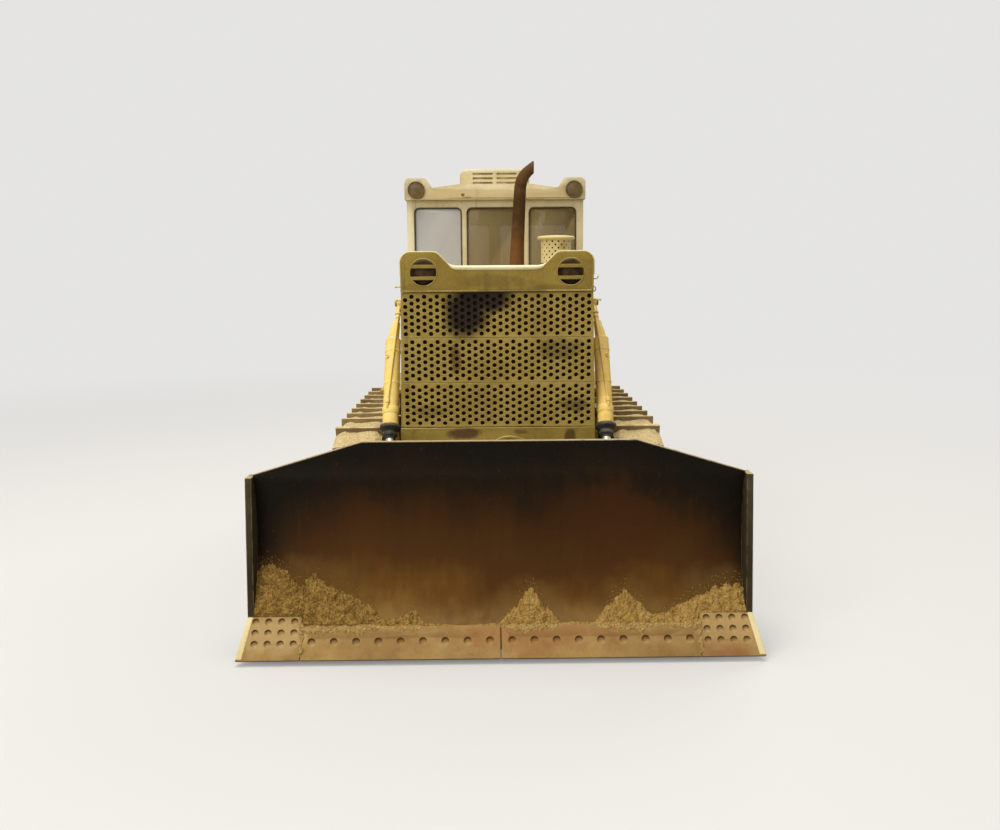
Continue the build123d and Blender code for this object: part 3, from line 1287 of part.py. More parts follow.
def main():
    """Build every node and write its file."""
    os.makedirs("parts", exist_ok=True)
    centre = Pos(0, -OVERALL_LENGTH / 2, 0)
    for name, shape in pieces().items():
        export_step(centre * shape, f"parts/{name}.step")


if __name__ == "__main__":
    main()
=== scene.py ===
import logging
from dataclasses import dataclass
from enum import Enum
from math import asin, cos, hypot, pi, radians, sin, sqrt, tan
from typing import Iterable, Sequence

import bmesh
import bpy
from mathutils import Matrix, Vector, noise


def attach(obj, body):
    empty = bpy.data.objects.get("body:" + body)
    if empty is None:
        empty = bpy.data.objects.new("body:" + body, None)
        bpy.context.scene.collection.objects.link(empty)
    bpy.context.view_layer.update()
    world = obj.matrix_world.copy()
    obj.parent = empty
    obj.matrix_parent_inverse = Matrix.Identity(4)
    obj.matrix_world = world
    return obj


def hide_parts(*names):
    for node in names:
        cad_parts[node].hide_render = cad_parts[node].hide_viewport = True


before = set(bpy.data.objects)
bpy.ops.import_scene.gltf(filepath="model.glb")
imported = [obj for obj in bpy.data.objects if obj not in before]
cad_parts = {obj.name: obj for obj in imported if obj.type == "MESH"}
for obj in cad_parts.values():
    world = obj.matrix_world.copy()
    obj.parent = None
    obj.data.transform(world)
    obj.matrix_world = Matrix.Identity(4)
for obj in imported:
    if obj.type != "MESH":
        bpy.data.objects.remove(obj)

Material, Mesh, Object = bpy.types.Material, bpy.types.Mesh, bpy.types.Object
Socket = bpy.types.NodeSocket
Colour = tuple[float, float, float]
Number = float | Socket
Tint = Colour | Socket
Profile = Sequence[tuple[float, float]]
Verts = list[bmesh.types.BMVert]

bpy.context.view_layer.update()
LOG = logging.getLogger("bulldozer")
MM = 0.001
HALF_LENGTH = 114.0
MERGE = 2e-6
SHARP = 38.0
SIGNS = (-1, 1)
ACROSS, BACK, UP = Vector((1, 0, 0)), Vector((0, 1, 0)), Vector((0, 0, 1))


def mm(x: float, y: float, z: float) -> Vector:
    """Turn millimetres into metres."""
    return Vector((x, y, z)) * MM


def at(x: float, station: float, height: float) -> Vector:
    """The place in metres of X, a station behind the cutting edge and a height, in millimetres."""
    return Vector((x * MM, (station - HALF_LENGTH) * MM, height * MM))


def ease(low: float, high: float, share: float) -> float:
    """A value between two others that starts and ends gently."""
    return low + (high - low) * share * share * (3.0 - 2.0 * share)


def wave(x: float, y: float, z: float = 0.0) -> float:
    """Smooth noise around 0."""
    return noise.noise(Vector((x, y, z)))


class Body(Enum):
    """The moving bodies that pieces ride on."""

    CHASSIS = "chassis"
    BLADE = "blade"
    CYLINDER_LEFT = "cylinder_left"
    CYLINDER_RIGHT = "cylinder_right"
    RAM_LEFT = "ram_left"
    RAM_RIGHT = "ram_right"
    DOOR_LEFT = "door_left"
    DOOR_RIGHT = "door_right"


class Side(Enum):
    """The machine's sides, as the sign of X."""

    LEFT = 1
    RIGHT = -1

    @property
    def label(self) -> str:
        """The ending of the names on this side."""
        return self.name.lower()

    def body(self, part: str) -> Body:
        """This side's body of a part that each side has."""
        return Body(f"{part}_{self.label}")


@dataclass(frozen=True)
class Stain:
    """A local patch of another colour on a painted face, in millimetres."""

    centre: Colour
    reach: Colour
    colour: Colour
    strength: float = 1.0
    ragged: float = 0.5


class Tree:
    """A node tree with short calls that add nodes and feed them."""

    def __init__(self, tree: bpy.types.NodeTree) -> None:
        """Take up a tree."""
        self.tree = tree

    def feed(self, socket: Socket, value: object) -> None:
        """Link a socket into an input, or set the input's own value."""
        if isinstance(value, Socket):
            self.tree.links.new(value, socket)
        else:
            socket.default_value = (*value, 1.0) if socket.type == "RGBA" else value

    def node(self, kind: str, links: dict[str | int, object] | None = None, **settings: object) -> bpy.types.Node:
        """Add a node, set it up and feed its inputs.

        Args:
            kind: The node's type.
            links: Values or sockets by the input's name or number.
            **settings: Properties of the node.

        Returns:
            The node.
        """
        item = self.tree.nodes.new(kind)
        for name, value in settings.items():
            setattr(item, name, value)
        for name, value in (links or {}).items():
            self.feed(item.inputs[name], value)
        return item

    def math(self, operation: str, first: Number, second: Number = 0.0) -> Socket:
        """A function of two numbers."""
        return self.node("ShaderNodeMath", {0: first, 1: second}, operation=operation).outputs[0]

    def times(self, first: Number, second: Number) -> Socket:
        """The product of two numbers."""
        return self.math("MULTIPLY", first, second)

    def plus(self, first: Number, second: Number) -> Socket:
        """The sum of two numbers."""
        return self.math("ADD", first, second)

    def less(self, first: Number, second: Number) -> Socket:
        """The difference of two numbers."""
        return self.math("SUBTRACT", first, second)


class Graph(Tree):
    """A material's node tree with short calls for the patterns used here."""

    def __init__(self, name: str) -> None:
        """Start an empty material with a shader and an output."""
        self.material = bpy.data.materials.new(name)
        self.material.use_nodes = True
        super().__init__(self.material.node_tree)
        self.tree.nodes.clear()
        self.shader = self.node("ShaderNodeBsdfPrincipled")
        self.node("ShaderNodeOutputMaterial", {0: self.shader.outputs[0]})
        place = self.node("ShaderNodeTexCoord").outputs
        self.place = place["Object"]
        self.axes = self.node("ShaderNodeSeparateXYZ", {0: self.place}).outputs
        self.up = self.node("ShaderNodeSeparateXYZ", {0: place["Normal"]}).outputs[2]

    def set(self, name: str, value: object) -> None:
        """Feed one of the shader's inputs."""
        self.feed(self.shader.inputs[name], value)

    def level(self, value: Number, low: float, high: float) -> Socket:
        """A smooth step from 0 at low to 1 at high, which may be below low."""
        limits = {1: min(low, high), 2: max(low, high), 3: float(high < low), 4: float(high >= low)}
        return self.node("ShaderNodeMapRange", {0: value, **limits}, interpolation_type="SMOOTHSTEP").outputs[0]

    def noise(
        self, scale: float, detail: float = 4.0, stretch: Colour = (1.0, 1.0, 1.0), rough: float = 0.55
    ) -> Socket:
        """Cloudy noise on the object coordinates.

        Args:
            scale: Waves in a metre.
            detail: Octaves.
            stretch: Factor on the scale along each axis.
            rough: Weight of the finer octaves.

        Returns:
            A socket around 0.5.
        """
        place = self.node("ShaderNodeMapping", {"Vector": self.place, "Scale": stretch}).outputs[0]
        links = {"Vector": place, "Scale": scale, "Detail": detail, "Roughness": rough}
        return self.node("ShaderNodeTexNoise", links).outputs[0]

    def cells(self, scale: float) -> Socket:
        """Distance to the nearest of many scattered points."""
        return self.node("ShaderNodeTexVoronoi", {"Vector": self.place, "Scale": scale}).outputs["Distance"]

    def mix(self, share: Number, first: Tint, second: Tint, mode: str = "MIX") -> Socket:
        """A colour between two colours."""
        links = {0: share, 6: first, 7: second}
        return self.node("ShaderNodeMix", links, data_type="RGBA", blend_type=mode).outputs[2]

    def over(self, under: Tint, colour: Tint, mask: Number, strength: Number) -> Socket:
        """A colour laid over another by a mask and a strength."""
        return self.mix(self.times(mask, strength), under, colour)

    def ramp(self, value: Number, stops: Sequence[tuple[float, Colour]]) -> Socket:
        """A colour read off a row of stops.

        Args:
            value: Where it is read, from 0 to 1.
            stops: Places and colours.

        Returns:
            The colour's socket.
        """
        item = self.node("ShaderNodeValToRGB", {0: value})
        band = item.color_ramp.elements
        while len(band) < len(stops):
            band.new(0.5)
        for element, (place, colour) in zip(band, stops):
            element.position = place
            element.color = (*colour, 1.0)
        return item.outputs[0]

    def edge(self, radius: float) -> Socket:
        """A mask that is high near sharp edges.

        Args:
            radius: Reach from the edge in metres.

        Returns:
            A socket from 0 on flat faces to 1 at edges.
        """
        soft = self.node("ShaderNodeBevel", {"Radius": radius}, samples=6).outputs[0]
        flat = self.node("ShaderNodeNewGeometry").outputs["Normal"]
        turn = self.node("ShaderNodeVectorMath", {0: soft, 1: flat}, operation="DOT_PRODUCT")
        return self.level(turn.outputs["Value"], 0.995, 0.86)

    def hollow(self, reach: float) -> Socket:
        """A mask that is high in the piece's own corners and recesses, within a reach in metres."""
        item = self.node("ShaderNodeAmbientOcclusion", {"Distance": reach}, samples=6, only_local=True)
        return self.level(item.outputs["AO"], 0.9, 0.42)

    def stained(self, colour: Tint, stains: Iterable[Stain]) -> Socket:
        """A colour with soft ragged stains on it.

        Args:
            colour: The clean colour.
            stains: What lies on it.

        Returns:
            The stained colour.
        """
        for stain in stains:
            total: Number = 0.0
            for axis, centre, reach in zip(self.axes, at(*stain.centre), Vector(stain.reach) * MM):
                part = self.math("DIVIDE", self.less(axis, centre), reach)
                total = self.plus(total, self.math("POWER", self.math("ABSOLUTE", part), 2.0))
            ragged = self.times(self.less(self.noise(160.0, 5.0), 0.5), 3.0 * stain.ragged)
            mask = self.level(self.plus(total, ragged), 1.0, 0.12)
            colour = self.over(colour, stain.colour, mask, stain.strength)
        return colour

    def gloss(self, value: Number, low: float, high: float) -> None:
        """Let the roughness run from low to high as a value runs from 0 to 1."""
        self.set("Roughness", self.node("ShaderNodeMapRange", {0: value, 3: low, 4: high}).outputs[0])

    def bump(self, height: Socket, distance: float, strength: float = 1.0) -> None:
        """Raise the surface by a height from 0 to 1, which stands for a distance in metres."""
        links = {"Distance": distance, "Strength": strength, "Height": height}
        self.set("Normal", self.node("ShaderNodeBump", links).outputs[0])


@dataclass(frozen=True)
class Coat:
    """A finish that sets a material's graph up."""

    name: str

    def fill(self, g: Graph) -> None:
        """Set the graph up."""
        raise NotImplementedError

    def build(self) -> Material:
        """Make the material.

        Returns:
            The finished material.
        """
        g = Graph(self.name)
        self.fill(g)
        return g.material


@dataclass(frozen=True)
class Paint(Coat):
    """A weathered coat of paint with dust, run marks, worn edges, grime and rust, and painted shade in its hollows and
    on its undersides.
    """

    base: Colour
    shade: Colour
    dust: Colour = (0.56, 0.44, 0.21)
    worn: Colour = (0.5, 0.39, 0.17)
    grime_and_shade: Colour = (0.065, 0.038, 0.013)
    rust: Colour = (0.15, 0.055, 0.016)
    dust_level: float = 0.75
    dust_film: float = 0.08
    streaks: float = 0.35
    specks: float = 0.35
    edges: float = 0.6
    # Strength of the darkening in the piece's own corners and recesses: partly grime, partly painted shade.
    hollows: float = 0.55
    # Strength of the painted shade on faces that point downwards.
    under: float = 0.0
    roughness: float = 0.74
    specular: float = 0.22
    metallic: float = 0.0
    mottle: float = 55.0
    stains: tuple[Stain, ...] = ()

    def fill(self, g: Graph) -> None:
        """Set the graph up."""
        cloud = g.noise(self.mottle, 5.0)
        colour = g.mix(g.level(cloud, 0.36, 0.66), self.base, self.shade)
        fine = g.noise(1400.0, 3.0)
        lift = g.mix(g.level(fine, 0.3, 0.7), (0.42, 0.42, 0.42), (0.56, 0.56, 0.56))
        colour = g.mix(0.6, colour, lift, "OVERLAY")
        run = g.level(g.noise(420.0, 4.0, (1.0, 1.0, 0.05)), 0.54, 0.76)
        run = g.times(run, g.level(g.noise(38.0, 2.0), 0.4, 0.62))
        colour = g.over(colour, self.grime_and_shade, run, self.streaks)
        # Corners and recesses are darkened: partly grime, partly painted shade.
        deep = g.times(g.hollow(0.0022), g.level(g.noise(150.0, 4.0), 0.3, 0.58))
        colour = g.over(colour, self.grime_and_shade, deep, self.hollows)
        rim = g.times(g.edge(0.0006), g.level(g.noise(260.0, 4.0), 0.34, 0.58))
        colour = g.over(colour, self.worn, rim, self.edges)
        pits = g.level(g.noise(520.0, 5.0, rough=0.7), 0.61, 0.68)
        pits = g.times(pits, g.level(cloud, 0.3, 0.55))
        colour = g.over(colour, self.rust, pits, self.specks)
        lying = g.times(g.level(g.up, 0.15, 0.85), self.dust_level)
        drift = g.plus(lying, self.dust_film)
        drift = g.times(drift, g.level(g.noise(210.0, 5.0), 0.08, 0.74))
        colour = g.mix(drift, colour, self.dust)
        colour = g.stained(colour, self.stains)
        # Painted shade: faces that point downwards are darkened in the grime colour.
        if self.under > 0.0:
            below = g.level(g.up, 0.34, -0.3)
            colour = g.over(colour, self.grime_and_shade, below, self.under)
        g.set("Base Color", colour)
        g.gloss(cloud, self.roughness - 0.12, min(1.0, self.roughness + 0.16))
        g.set("Metallic", self.metallic)
        g.set("Specular IOR Level", self.specular)
        grain = g.plus(g.times(fine, 0.6), g.times(g.noise(420.0, 4.0), 0.6))
        g.bump(grain, 0.00018, 0.6)


@dataclass(frozen=True)
class BladeSteel(Coat):
    """Burnished dark steel that turns to rust and dry mud towards the floor."""

    name: str = "blade steel"
    bottom: float = 10.0
    top: float = 68.0
    stains: tuple[Stain, ...] = (
        Stain((38.0, 12.0, 40.0), (19.0, 40.0, 17.0), (0.06, 0.02, 0.0058), 0.55, 0.5),
        Stain((-62.0, 12.0, 19.0), (26.0, 40.0, 15.0), (0.14, 0.076, 0.018), 0.5, 0.4),
        Stain((10.0, 12.0, 13.0), (15.0, 40.0, 13.0), (0.17, 0.096, 0.024), 0.55, 0.4),
        Stain((40.0, 12.0, 13.0), (14.0, 40.0, 12.0), (0.16, 0.09, 0.022), 0.52, 0.4),
        Stain((68.0, 12.0, 17.0), (16.0, 40.0, 12.5), (0.14, 0.082, 0.022), 0.5, 0.4),
    )

    def fill(self, g: Graph) -> None:
        """Set the graph up."""
        rise = g.math("DIVIDE", g.less(g.axes[2], self.bottom * MM), (self.top - self.bottom) * MM)
        wide = g.math("POWER", g.math("DIVIDE", g.math("ABSOLUTE", g.axes[0]), 0.077), 6.0)
        wave = g.times(g.less(g.noise(34.0, 5.0), 0.5), 0.62)
        runs = g.times(g.less(g.noise(330.0, 5.0, (1.0, 1.0, 0.035)), 0.5), 0.18)
        place = g.plus(g.plus(rise, wave), g.plus(runs, g.times(wide, 0.36)))
        colour = g.ramp(place, [
            (0.00, (0.2, 0.105, 0.024)), (0.14, (0.118, 0.053, 0.01)), (0.3, (0.07, 0.029, 0.0062)),
            (0.56, (0.046, 0.0185, 0.0044)), (0.78, (0.015, 0.0086, 0.0038)), (0.93, (0.0078, 0.0056, 0.0036)),
        ])
        scratch = g.level(g.noise(900.0, 3.0, (1.0, 1.0, 0.02)), 0.63, 0.78)
        colour = g.over(colour, (0.13, 0.07, 0.019), scratch, 0.12)
        pits = g.level(g.noise(620.0, 5.0, rough=0.7), 0.6, 0.7)
        colour = g.over(colour, (0.095, 0.034, 0.008), pits, 0.24)
        colour = g.stained(colour, self.stains)
        rim = g.times(g.edge(0.0006), g.level(g.noise(180.0, 4.0), 0.26, 0.5))
        colour = g.over(colour, (0.46, 0.37, 0.2), rim, 0.62)
        dust = g.times(g.level(g.up, 0.35, 0.9), g.level(g.noise(240.0, 4.0), 0.2, 0.5))
        colour = g.over(colour, (0.5, 0.4, 0.21), dust, 0.8)
        g.set("Base Color", colour)
        g.gloss(place, 0.92, 0.6)
        g.set("Specular IOR Level", 0.07)
        grain = g.plus(g.noise(1500.0, 3.0), g.times(g.noise(330.0, 5.0), 0.8))
        g.bump(grain, 0.00022, 0.7)


@dataclass(frozen=True)
class Earth(Coat):
    """Dry sandy soil of many grains."""

    light: Colour = (0.385, 0.232, 0.064)
    dark: Colour = (0.165, 0.09, 0.021)
    pale: Colour = (0.54, 0.365, 0.135)
    damp: float = 0.0

    def fill(self, g: Graph) -> None:
        """Set the graph up."""
        grain = g.noise(1500.0, 5.0, rough=0.7)
        tone = g.plus(g.times(grain, 0.64), g.times(g.noise(420.0, 4.0), 0.36))
        # The soil is darker towards -X.
        damp = g.times(g.level(g.axes[0], -0.005, -0.055), self.damp)
        tone = g.less(tone, damp)
        colour = g.ramp(tone, [(0.34, self.dark), (0.51, self.light), (0.68, self.pale)])
        g.set("Base Color", colour)
        g.set("Roughness", 0.96)
        g.set("Specular IOR Level", 0.12)
        g.bump(g.plus(grain, g.cells(1300.0)), 0.0005)


@dataclass(frozen=True)
class Glazing(Coat):
    """Clear styrene with a film of dust that thickens into the corners."""

    tint: Colour = (0.3, 0.222, 0.086)
    film: Colour = (0.42, 0.33, 0.16)
    # Haze and cover also paint a reflection: a pale, nearly opaque film on one pane.
    haze: float = 0.05
    cover: float = 0.5

    def fill(self, g: Graph) -> None:
        """Set the graph up."""
        wipe = g.level(g.noise(70.0, 4.0), 0.34, 0.72)
        specks = g.level(g.noise(900.0, 4.0), 0.56, 0.78)
        veil = g.plus(g.times(wipe, 0.16), g.times(specks, 0.04))
        veil = g.math("MINIMUM", g.plus(veil, self.haze), 1.0)
        g.set("Base Color", g.mix(veil, self.tint, self.film))
        g.set("Alpha", g.plus(self.cover, g.times(veil, 1.0 - self.cover)))
        g.set("Roughness", 0.12)
        g.set("IOR", 1.5)
        g.set("Specular IOR Level", 0.25)


@dataclass(frozen=True)
class Moulding(Coat):
    """Plain moulded or turned stuff with a slight texture."""

    base: Colour
    shade: Colour
    roughness: float = 0.5
    metallic: float = 0.0
    dust: float = 0.25
    grain: float = 500.0
    specular: float = 0.3

    def fill(self, g: Graph) -> None:
        """Set the graph up."""
        cloud = g.noise(self.grain, 4.0)
        colour = g.mix(g.level(cloud, 0.35, 0.68), self.base, self.shade)
        drift = g.times(g.level(g.up, -0.1, 0.9), g.level(g.noise(260.0, 4.0), 0.3, 0.65))
        colour = g.over(colour, (0.5, 0.4, 0.23), drift, self.dust)
        g.set("Base Color", colour)
        g.gloss(cloud, self.roughness - 0.1, self.roughness + 0.12)
        g.set("Metallic", self.metallic)
        g.set("Specular IOR Level", self.specular)
        g.bump(cloud, 0.00012, 0.5)


@dataclass(frozen=True)
class Finishes:
    """Every finish on the model, built once."""

    cream: Material
    bowl: Material
    lip: Material
    guard: Material
    panel: Material
    yellow: Material
    arm: Material
    steel: Material
    plate: Material
    edge: Material
    track: Material
    running: Material
    hull: Material
    stack: Material
    rubber: Material
    seal: Material
    rod: Material
    core: Material
    seat: Material
    lens: Material
    roof_lens: Material
    tail_lens: Material
    glass: Material
    glare_pane: Material
    soil: Material
    spilt: Material
    mud: Material

    @staticmethod
    def make() -> "Finishes":
        """Build all the materials.

        Returns:
            The set of materials.
        """
        panel_marks = (
            Stain((-15.0, 60.0, 90.0), (2.6, 30.0, 7.0), (0.075, 0.032, 0.01), 0.7, 0.5),
            Stain((-11.0, 60.0, 106.0), (10.4, 30.0, 12.5), (0.011, 0.0062, 0.0046), 0.98, 0.2),
            Stain((-3.5, 60.0, 111.5), (12.0, 30.0, 7.5), (0.012, 0.0068, 0.005), 0.97, 0.2),
            Stain((22.0, 60.0, 93.0), (9.0, 30.0, 5.0), (0.055, 0.046, 0.012), 0.5, 0.7),
            Stain((26.5, 60.0, 72.5), (6.0, 30.0, 4.0), (0.045, 0.034, 0.012), 0.6, 0.7),
            Stain((-24.0, 60.0, 70.5), (7.0, 30.0, 3.0), (0.1, 0.062, 0.016), 0.45, 0.8),
        )
        guard_stains_and_painted_shadow = (
            Stain((-12.0, 60.0, 62.4), (8.0, 30.0, 2.4), (0.075, 0.03, 0.01), 0.9, 0.6),
            Stain((26.0, 60.0, 61.2), (2.4, 30.0, 3.8), (0.07, 0.032, 0.011), 0.85, 0.6),
            Stain((8.5, 60.0, 62.8), (3.0, 30.0, 1.2), (0.07, 0.034, 0.012), 0.6, 0.8),
            # Painted shadow: a thin dark line under the head panel's lower edge.
            Stain((3.0, 60.0, 113.2), (20.0, 2.5, 1.0), (0.07, 0.042, 0.012), 0.55, 0.8),
            Stain((-2.0, 60.0, 117.0), (17.0, 2.5, 3.2), (0.13, 0.08, 0.018), 0.45, 0.9),
            Stain((20.0, 60.0, 114.4), (9.0, 2.5, 1.6), (0.11, 0.068, 0.017), 0.45, 0.9),
            Stain((-27.0, 60.0, 114.6), (7.0, 2.5, 2.0), (0.12, 0.075, 0.018), 0.4, 0.9),
        )
        cab_stains_and_painted_light = (
            Stain((0.0, 140.5, 153.0), (60.0, 1.8, 5.0), (0.48, 0.345, 0.14), 0.6, 0.5),
            Stain((-13.9, 140.5, 152.6), (1.0, 3.0, 0.9), (0.045, 0.026, 0.01), 0.85, 0.4),
            Stain((-12.0, 140.5, 151.5), (2.6, 3.0, 0.5), (0.1, 0.062, 0.022), 0.6, 0.5),
            Stain((14.0, 140.5, 151.0), (12.0, 3.0, 0.6), (0.2, 0.135, 0.052), 0.45, 0.7),
            # Painted shadow under the visor's crease, in two thin dark lines.
            Stain((-4.0, 140.5, 151.25), (26.0, 3.0, 0.3), (0.165, 0.11, 0.042), 0.8, 0.25),
            Stain((25.0, 140.5, 151.2), (14.0, 3.0, 0.32), (0.15, 0.1, 0.038), 0.8, 0.25),
            # Painted highlight: a pale stripe down the left front corner post.
            Stain((-37.2, 142.5, 128.0), (2.4, 5.0, 32.0), (0.86, 0.8, 0.54), 0.85, 0.1),
            Stain((0.0, 175.0, 166.0), (22.0, 16.0, 7.0), (0.48, 0.415, 0.255), 0.55, 0.2),
        )
        pipe_marks = (
            Stain((8.4, 105.0, 126.0), (7.0, 7.0, 9.5), (0.205, 0.082, 0.024), 0.62, 0.5),
            Stain((9.6, 105.0, 145.0), (7.0, 7.0, 8.0), (0.046, 0.021, 0.006), 0.55, 0.6),
            Stain((13.0, 105.0, 158.5), (9.0, 7.0, 7.0), (0.12, 0.062, 0.022), 0.6, 0.5),
        )
        edge_marks = (
            Stain((8.0, 4.0, 8.0), (30.0, 20.0, 6.0), (0.27, 0.105, 0.036), 0.45, 0.9),
            Stain((-36.0, 4.0, 7.0), (18.0, 20.0, 5.0), (0.22, 0.11, 0.036), 0.4, 0.9),
            Stain((70.0, 4.0, 4.0), (10.0, 20.0, 4.0), (0.25, 0.095, 0.034), 0.5, 0.9),
            Stain((-71.0, 4.0, 8.0), (12.0, 20.0, 7.0), (0.5, 0.355, 0.16), 0.4, 0.6),
            Stain((71.0, 4.0, 9.0), (12.0, 20.0, 6.0), (0.48, 0.335, 0.145), 0.35, 0.6),
        )
        coats = dict(
            cream=Paint(
                "cab cream", (0.675, 0.588, 0.372), (0.575, 0.475, 0.258), dust=(0.7, 0.61, 0.39),
                worn=(0.4, 0.275, 0.105), grime_and_shade=(0.115, 0.07, 0.024), streaks=0.55, specks=0.3, edges=0.4,
                hollows=0.75, stains=cab_stains_and_painted_light,
            ),
            bowl=Paint(
                "pre-cleaner cream", (0.775, 0.655, 0.335), (0.655, 0.525, 0.232), dust=(0.66, 0.56, 0.32),
                worn=(0.8, 0.71, 0.44), streaks=0.35, specks=0.3, edges=0.6, hollows=0.15,
                stains=(Stain((25.4, 91.4, 129.4), (2.5, 3.5, 2.4), (0.43, 0.285, 0.07), 0.75, 0.5),),
            ),
            # Pale paint on the notch lip: partly worn paint, partly a painted highlight along the notch's top.
            lip=Paint(
                "worn lip", (0.86, 0.77, 0.48), (0.76, 0.66, 0.37), dust=(0.92, 0.86, 0.62), worn=(0.92, 0.84, 0.58),
                streaks=0.15, specks=0.15, hollows=0.3,
            ),
            guard=Paint(
                "guard yellow", (0.306, 0.21, 0.035), (0.238, 0.157, 0.023), dust=(0.66, 0.56, 0.3), dust_film=0.03,
                worn=(0.46, 0.35, 0.125), streaks=0.6, specks=0.45, edges=0.6, hollows=0.75, stains=guard_stains_and_painted_shadow,
            ),
            panel=Paint(
                "grille yellow", (0.402, 0.286, 0.062), (0.332, 0.228, 0.045), dust=(0.66, 0.56, 0.3), dust_film=0.03,
                worn=(0.4, 0.3, 0.1), streaks=0.4, specks=0.4, edges=0.15, hollows=0.25, stains=panel_marks,
            ),
            yellow=Paint(
                "cylinder yellow", (0.885, 0.64, 0.152), (0.78, 0.512, 0.092), dust=(0.88, 0.72, 0.36),
                worn=(0.88, 0.78, 0.5), rust=(0.22, 0.09, 0.022), streaks=0.45, specks=0.5, edges=0.7,
            ),
            arm=Paint(
                "arm yellow", (0.33, 0.21, 0.044), (0.215, 0.122, 0.027), dust=(0.46, 0.34, 0.15),
                streaks=0.6, specks=0.6, dust_film=0.18,
            ),
            steel=BladeSteel(),
            plate=Paint(
                "end plate", (0.032, 0.022, 0.01), (0.018, 0.0125, 0.0062), dust=(0.52, 0.42, 0.22),
                worn=(0.4, 0.31, 0.145), rust=(0.1, 0.038, 0.011), streaks=0.3, specks=0.5, edges=0.4,
                dust_level=0.9, dust_film=0.03, roughness=0.8, specular=0.1,
            ),
            # Its under setting paints shade into the downward-facing upper walls of the bolt recesses.
            edge=Paint(
                "cutting edge", (0.335, 0.198, 0.06), (0.23, 0.122, 0.034), dust=(0.45, 0.31, 0.125),
                worn=(0.54, 0.39, 0.17), grime_and_shade=(0.08, 0.038, 0.013), rust=(0.2, 0.07, 0.022),
                streaks=0.35, specks=0.6, edges=0.7, hollows=0.5, under=0.85, dust_film=0.12, roughness=0.84,
                specular=0.14, stains=edge_marks,
            ),
            # Dark base on the side faces paints the shade on the grousers' fronts; the pale up-facing dust and worn
            # tops are partly real dust and partly painted light.
            track=Paint(
                "track dust", (0.205, 0.145, 0.066), (0.115, 0.078, 0.035), dust=(0.66, 0.52, 0.26),
                worn=(0.56, 0.43, 0.21), grime_and_shade=(0.04, 0.028, 0.015), rust=(0.13, 0.06, 0.024),
                streaks=0.4, specks=0.5, edges=0.8, dust_level=1.0, dust_film=0.2, roughness=0.88, specular=0.12,
            ),
            running=Paint(
                "running gear", (0.16, 0.108, 0.048), (0.092, 0.06, 0.026), dust=(0.46, 0.34, 0.16),
                streaks=0.3, specks=0.6, dust_film=0.24, roughness=0.86,
            ),
            hull=Paint(
                "hull yellow", (0.31, 0.2, 0.042), (0.205, 0.122, 0.027), dust=(0.48, 0.37, 0.17),
                streaks=0.7, specks=0.55, dust_film=0.16, roughness=0.8,
            ),
            stack=Paint(
                "rusted pipe", (0.102, 0.044, 0.011), (0.046, 0.02, 0.0056), dust=(0.22, 0.12, 0.05),
                worn=(0.3, 0.17, 0.09), grime_and_shade=(0.018, 0.012, 0.009), rust=(0.25, 0.085, 0.024),
                streaks=0.5, specks=0.9, edges=0.4, dust_level=0.2, dust_film=0.16, roughness=0.9, specular=0.12,
                mottle=190.0, stains=pipe_marks,
            ),
            rubber=Moulding("black rubber", (0.02, 0.018, 0.015), (0.04, 0.034, 0.026), 0.6),
            seal=Moulding("window seal", (0.1, 0.068, 0.028), (0.055, 0.037, 0.015), 0.85, 0.0, 0.1),
            rod=Moulding("silver rod", (0.66, 0.63, 0.55), (0.5, 0.46, 0.38), 0.32, 0.75, 0.12),
            # Near-black radiator core, also used for the painted shade behind the grille, in the pre-cleaner's holes
            # and inside the louvres.
            core=Moulding(
                "radiator core", (0.03, 0.015, 0.006), (0.016, 0.0085, 0.004), 0.9, 0.0, 0.1, specular=0.03
            ),
            seat=Moulding("moulded seat", (0.055, 0.042, 0.026), (0.08, 0.06, 0.036), 0.75, 0.0, 0.35),
            lens=Moulding(
                "lamp lens", (0.095, 0.058, 0.02), (0.045, 0.027, 0.01), 0.45, 0.0, 0.2, specular=0.12
            ),
            roof_lens=Moulding("roof lamp lens", (0.16, 0.108, 0.036), (0.1, 0.065, 0.02), 0.42, 0.0, 0.2),
            tail_lens=Moulding("tail lamp lens", (0.3, 0.028, 0.012), (0.22, 0.018, 0.008), 0.25, 0.0, 0.2),
            glass=Glazing("window pane"),
            # Painted reflection: a pale, nearly opaque film stands in for the glare on this pane.
            glare_pane=Glazing("clouded pane", (0.42, 0.41, 0.375), (0.53, 0.52, 0.49), 0.5, 0.92),
            soil=Earth("dry soil", (0.41, 0.248, 0.064), (0.178, 0.098, 0.021), damp=0.1),
            spilt=Earth("spilt soil", (0.435, 0.28, 0.092), (0.235, 0.136, 0.037), (0.58, 0.405, 0.16)),
            mud=Earth("packed mud", (0.66, 0.51, 0.255), (0.42, 0.31, 0.145), (0.76, 0.62, 0.35)),
        )
        return Finishes(**{name: coat.build() for name, coat in coats.items()})


def smooth(mesh: Mesh, angle: float = 32.0) -> None:
    """Shade a mesh smooth, with sharp edges past an angle in degrees."""
    mesh.polygons.foreach_set("use_smooth", [True] * len(mesh.polygons))
    mesh.set_sharp_from_angle(angle=radians(angle))


def dress(mesh: Mesh, material: Material) -> None:
    """Give a mesh one finish."""
    mesh.materials.clear()
    mesh.materials.append(material)


def new_object(name: str, mesh: Mesh) -> Object:
    """Put a mesh into the scene as an object at the origin."""
    item = bpy.data.objects.new(name, mesh)
    bpy.context.scene.collection.objects.link(item)
    return item


def discard(*items: Object) -> None:
    """Remove objects that only served as tools."""
    for item in items:
        bpy.data.objects.remove(item)


def baked(work: bmesh.types.BMesh, name: str) -> Mesh:
    """Turn a bmesh into a named mesh and free it."""
    mesh = bpy.data.meshes.new(name)
    work.to_mesh(mesh)
    work.free()
    return mesh


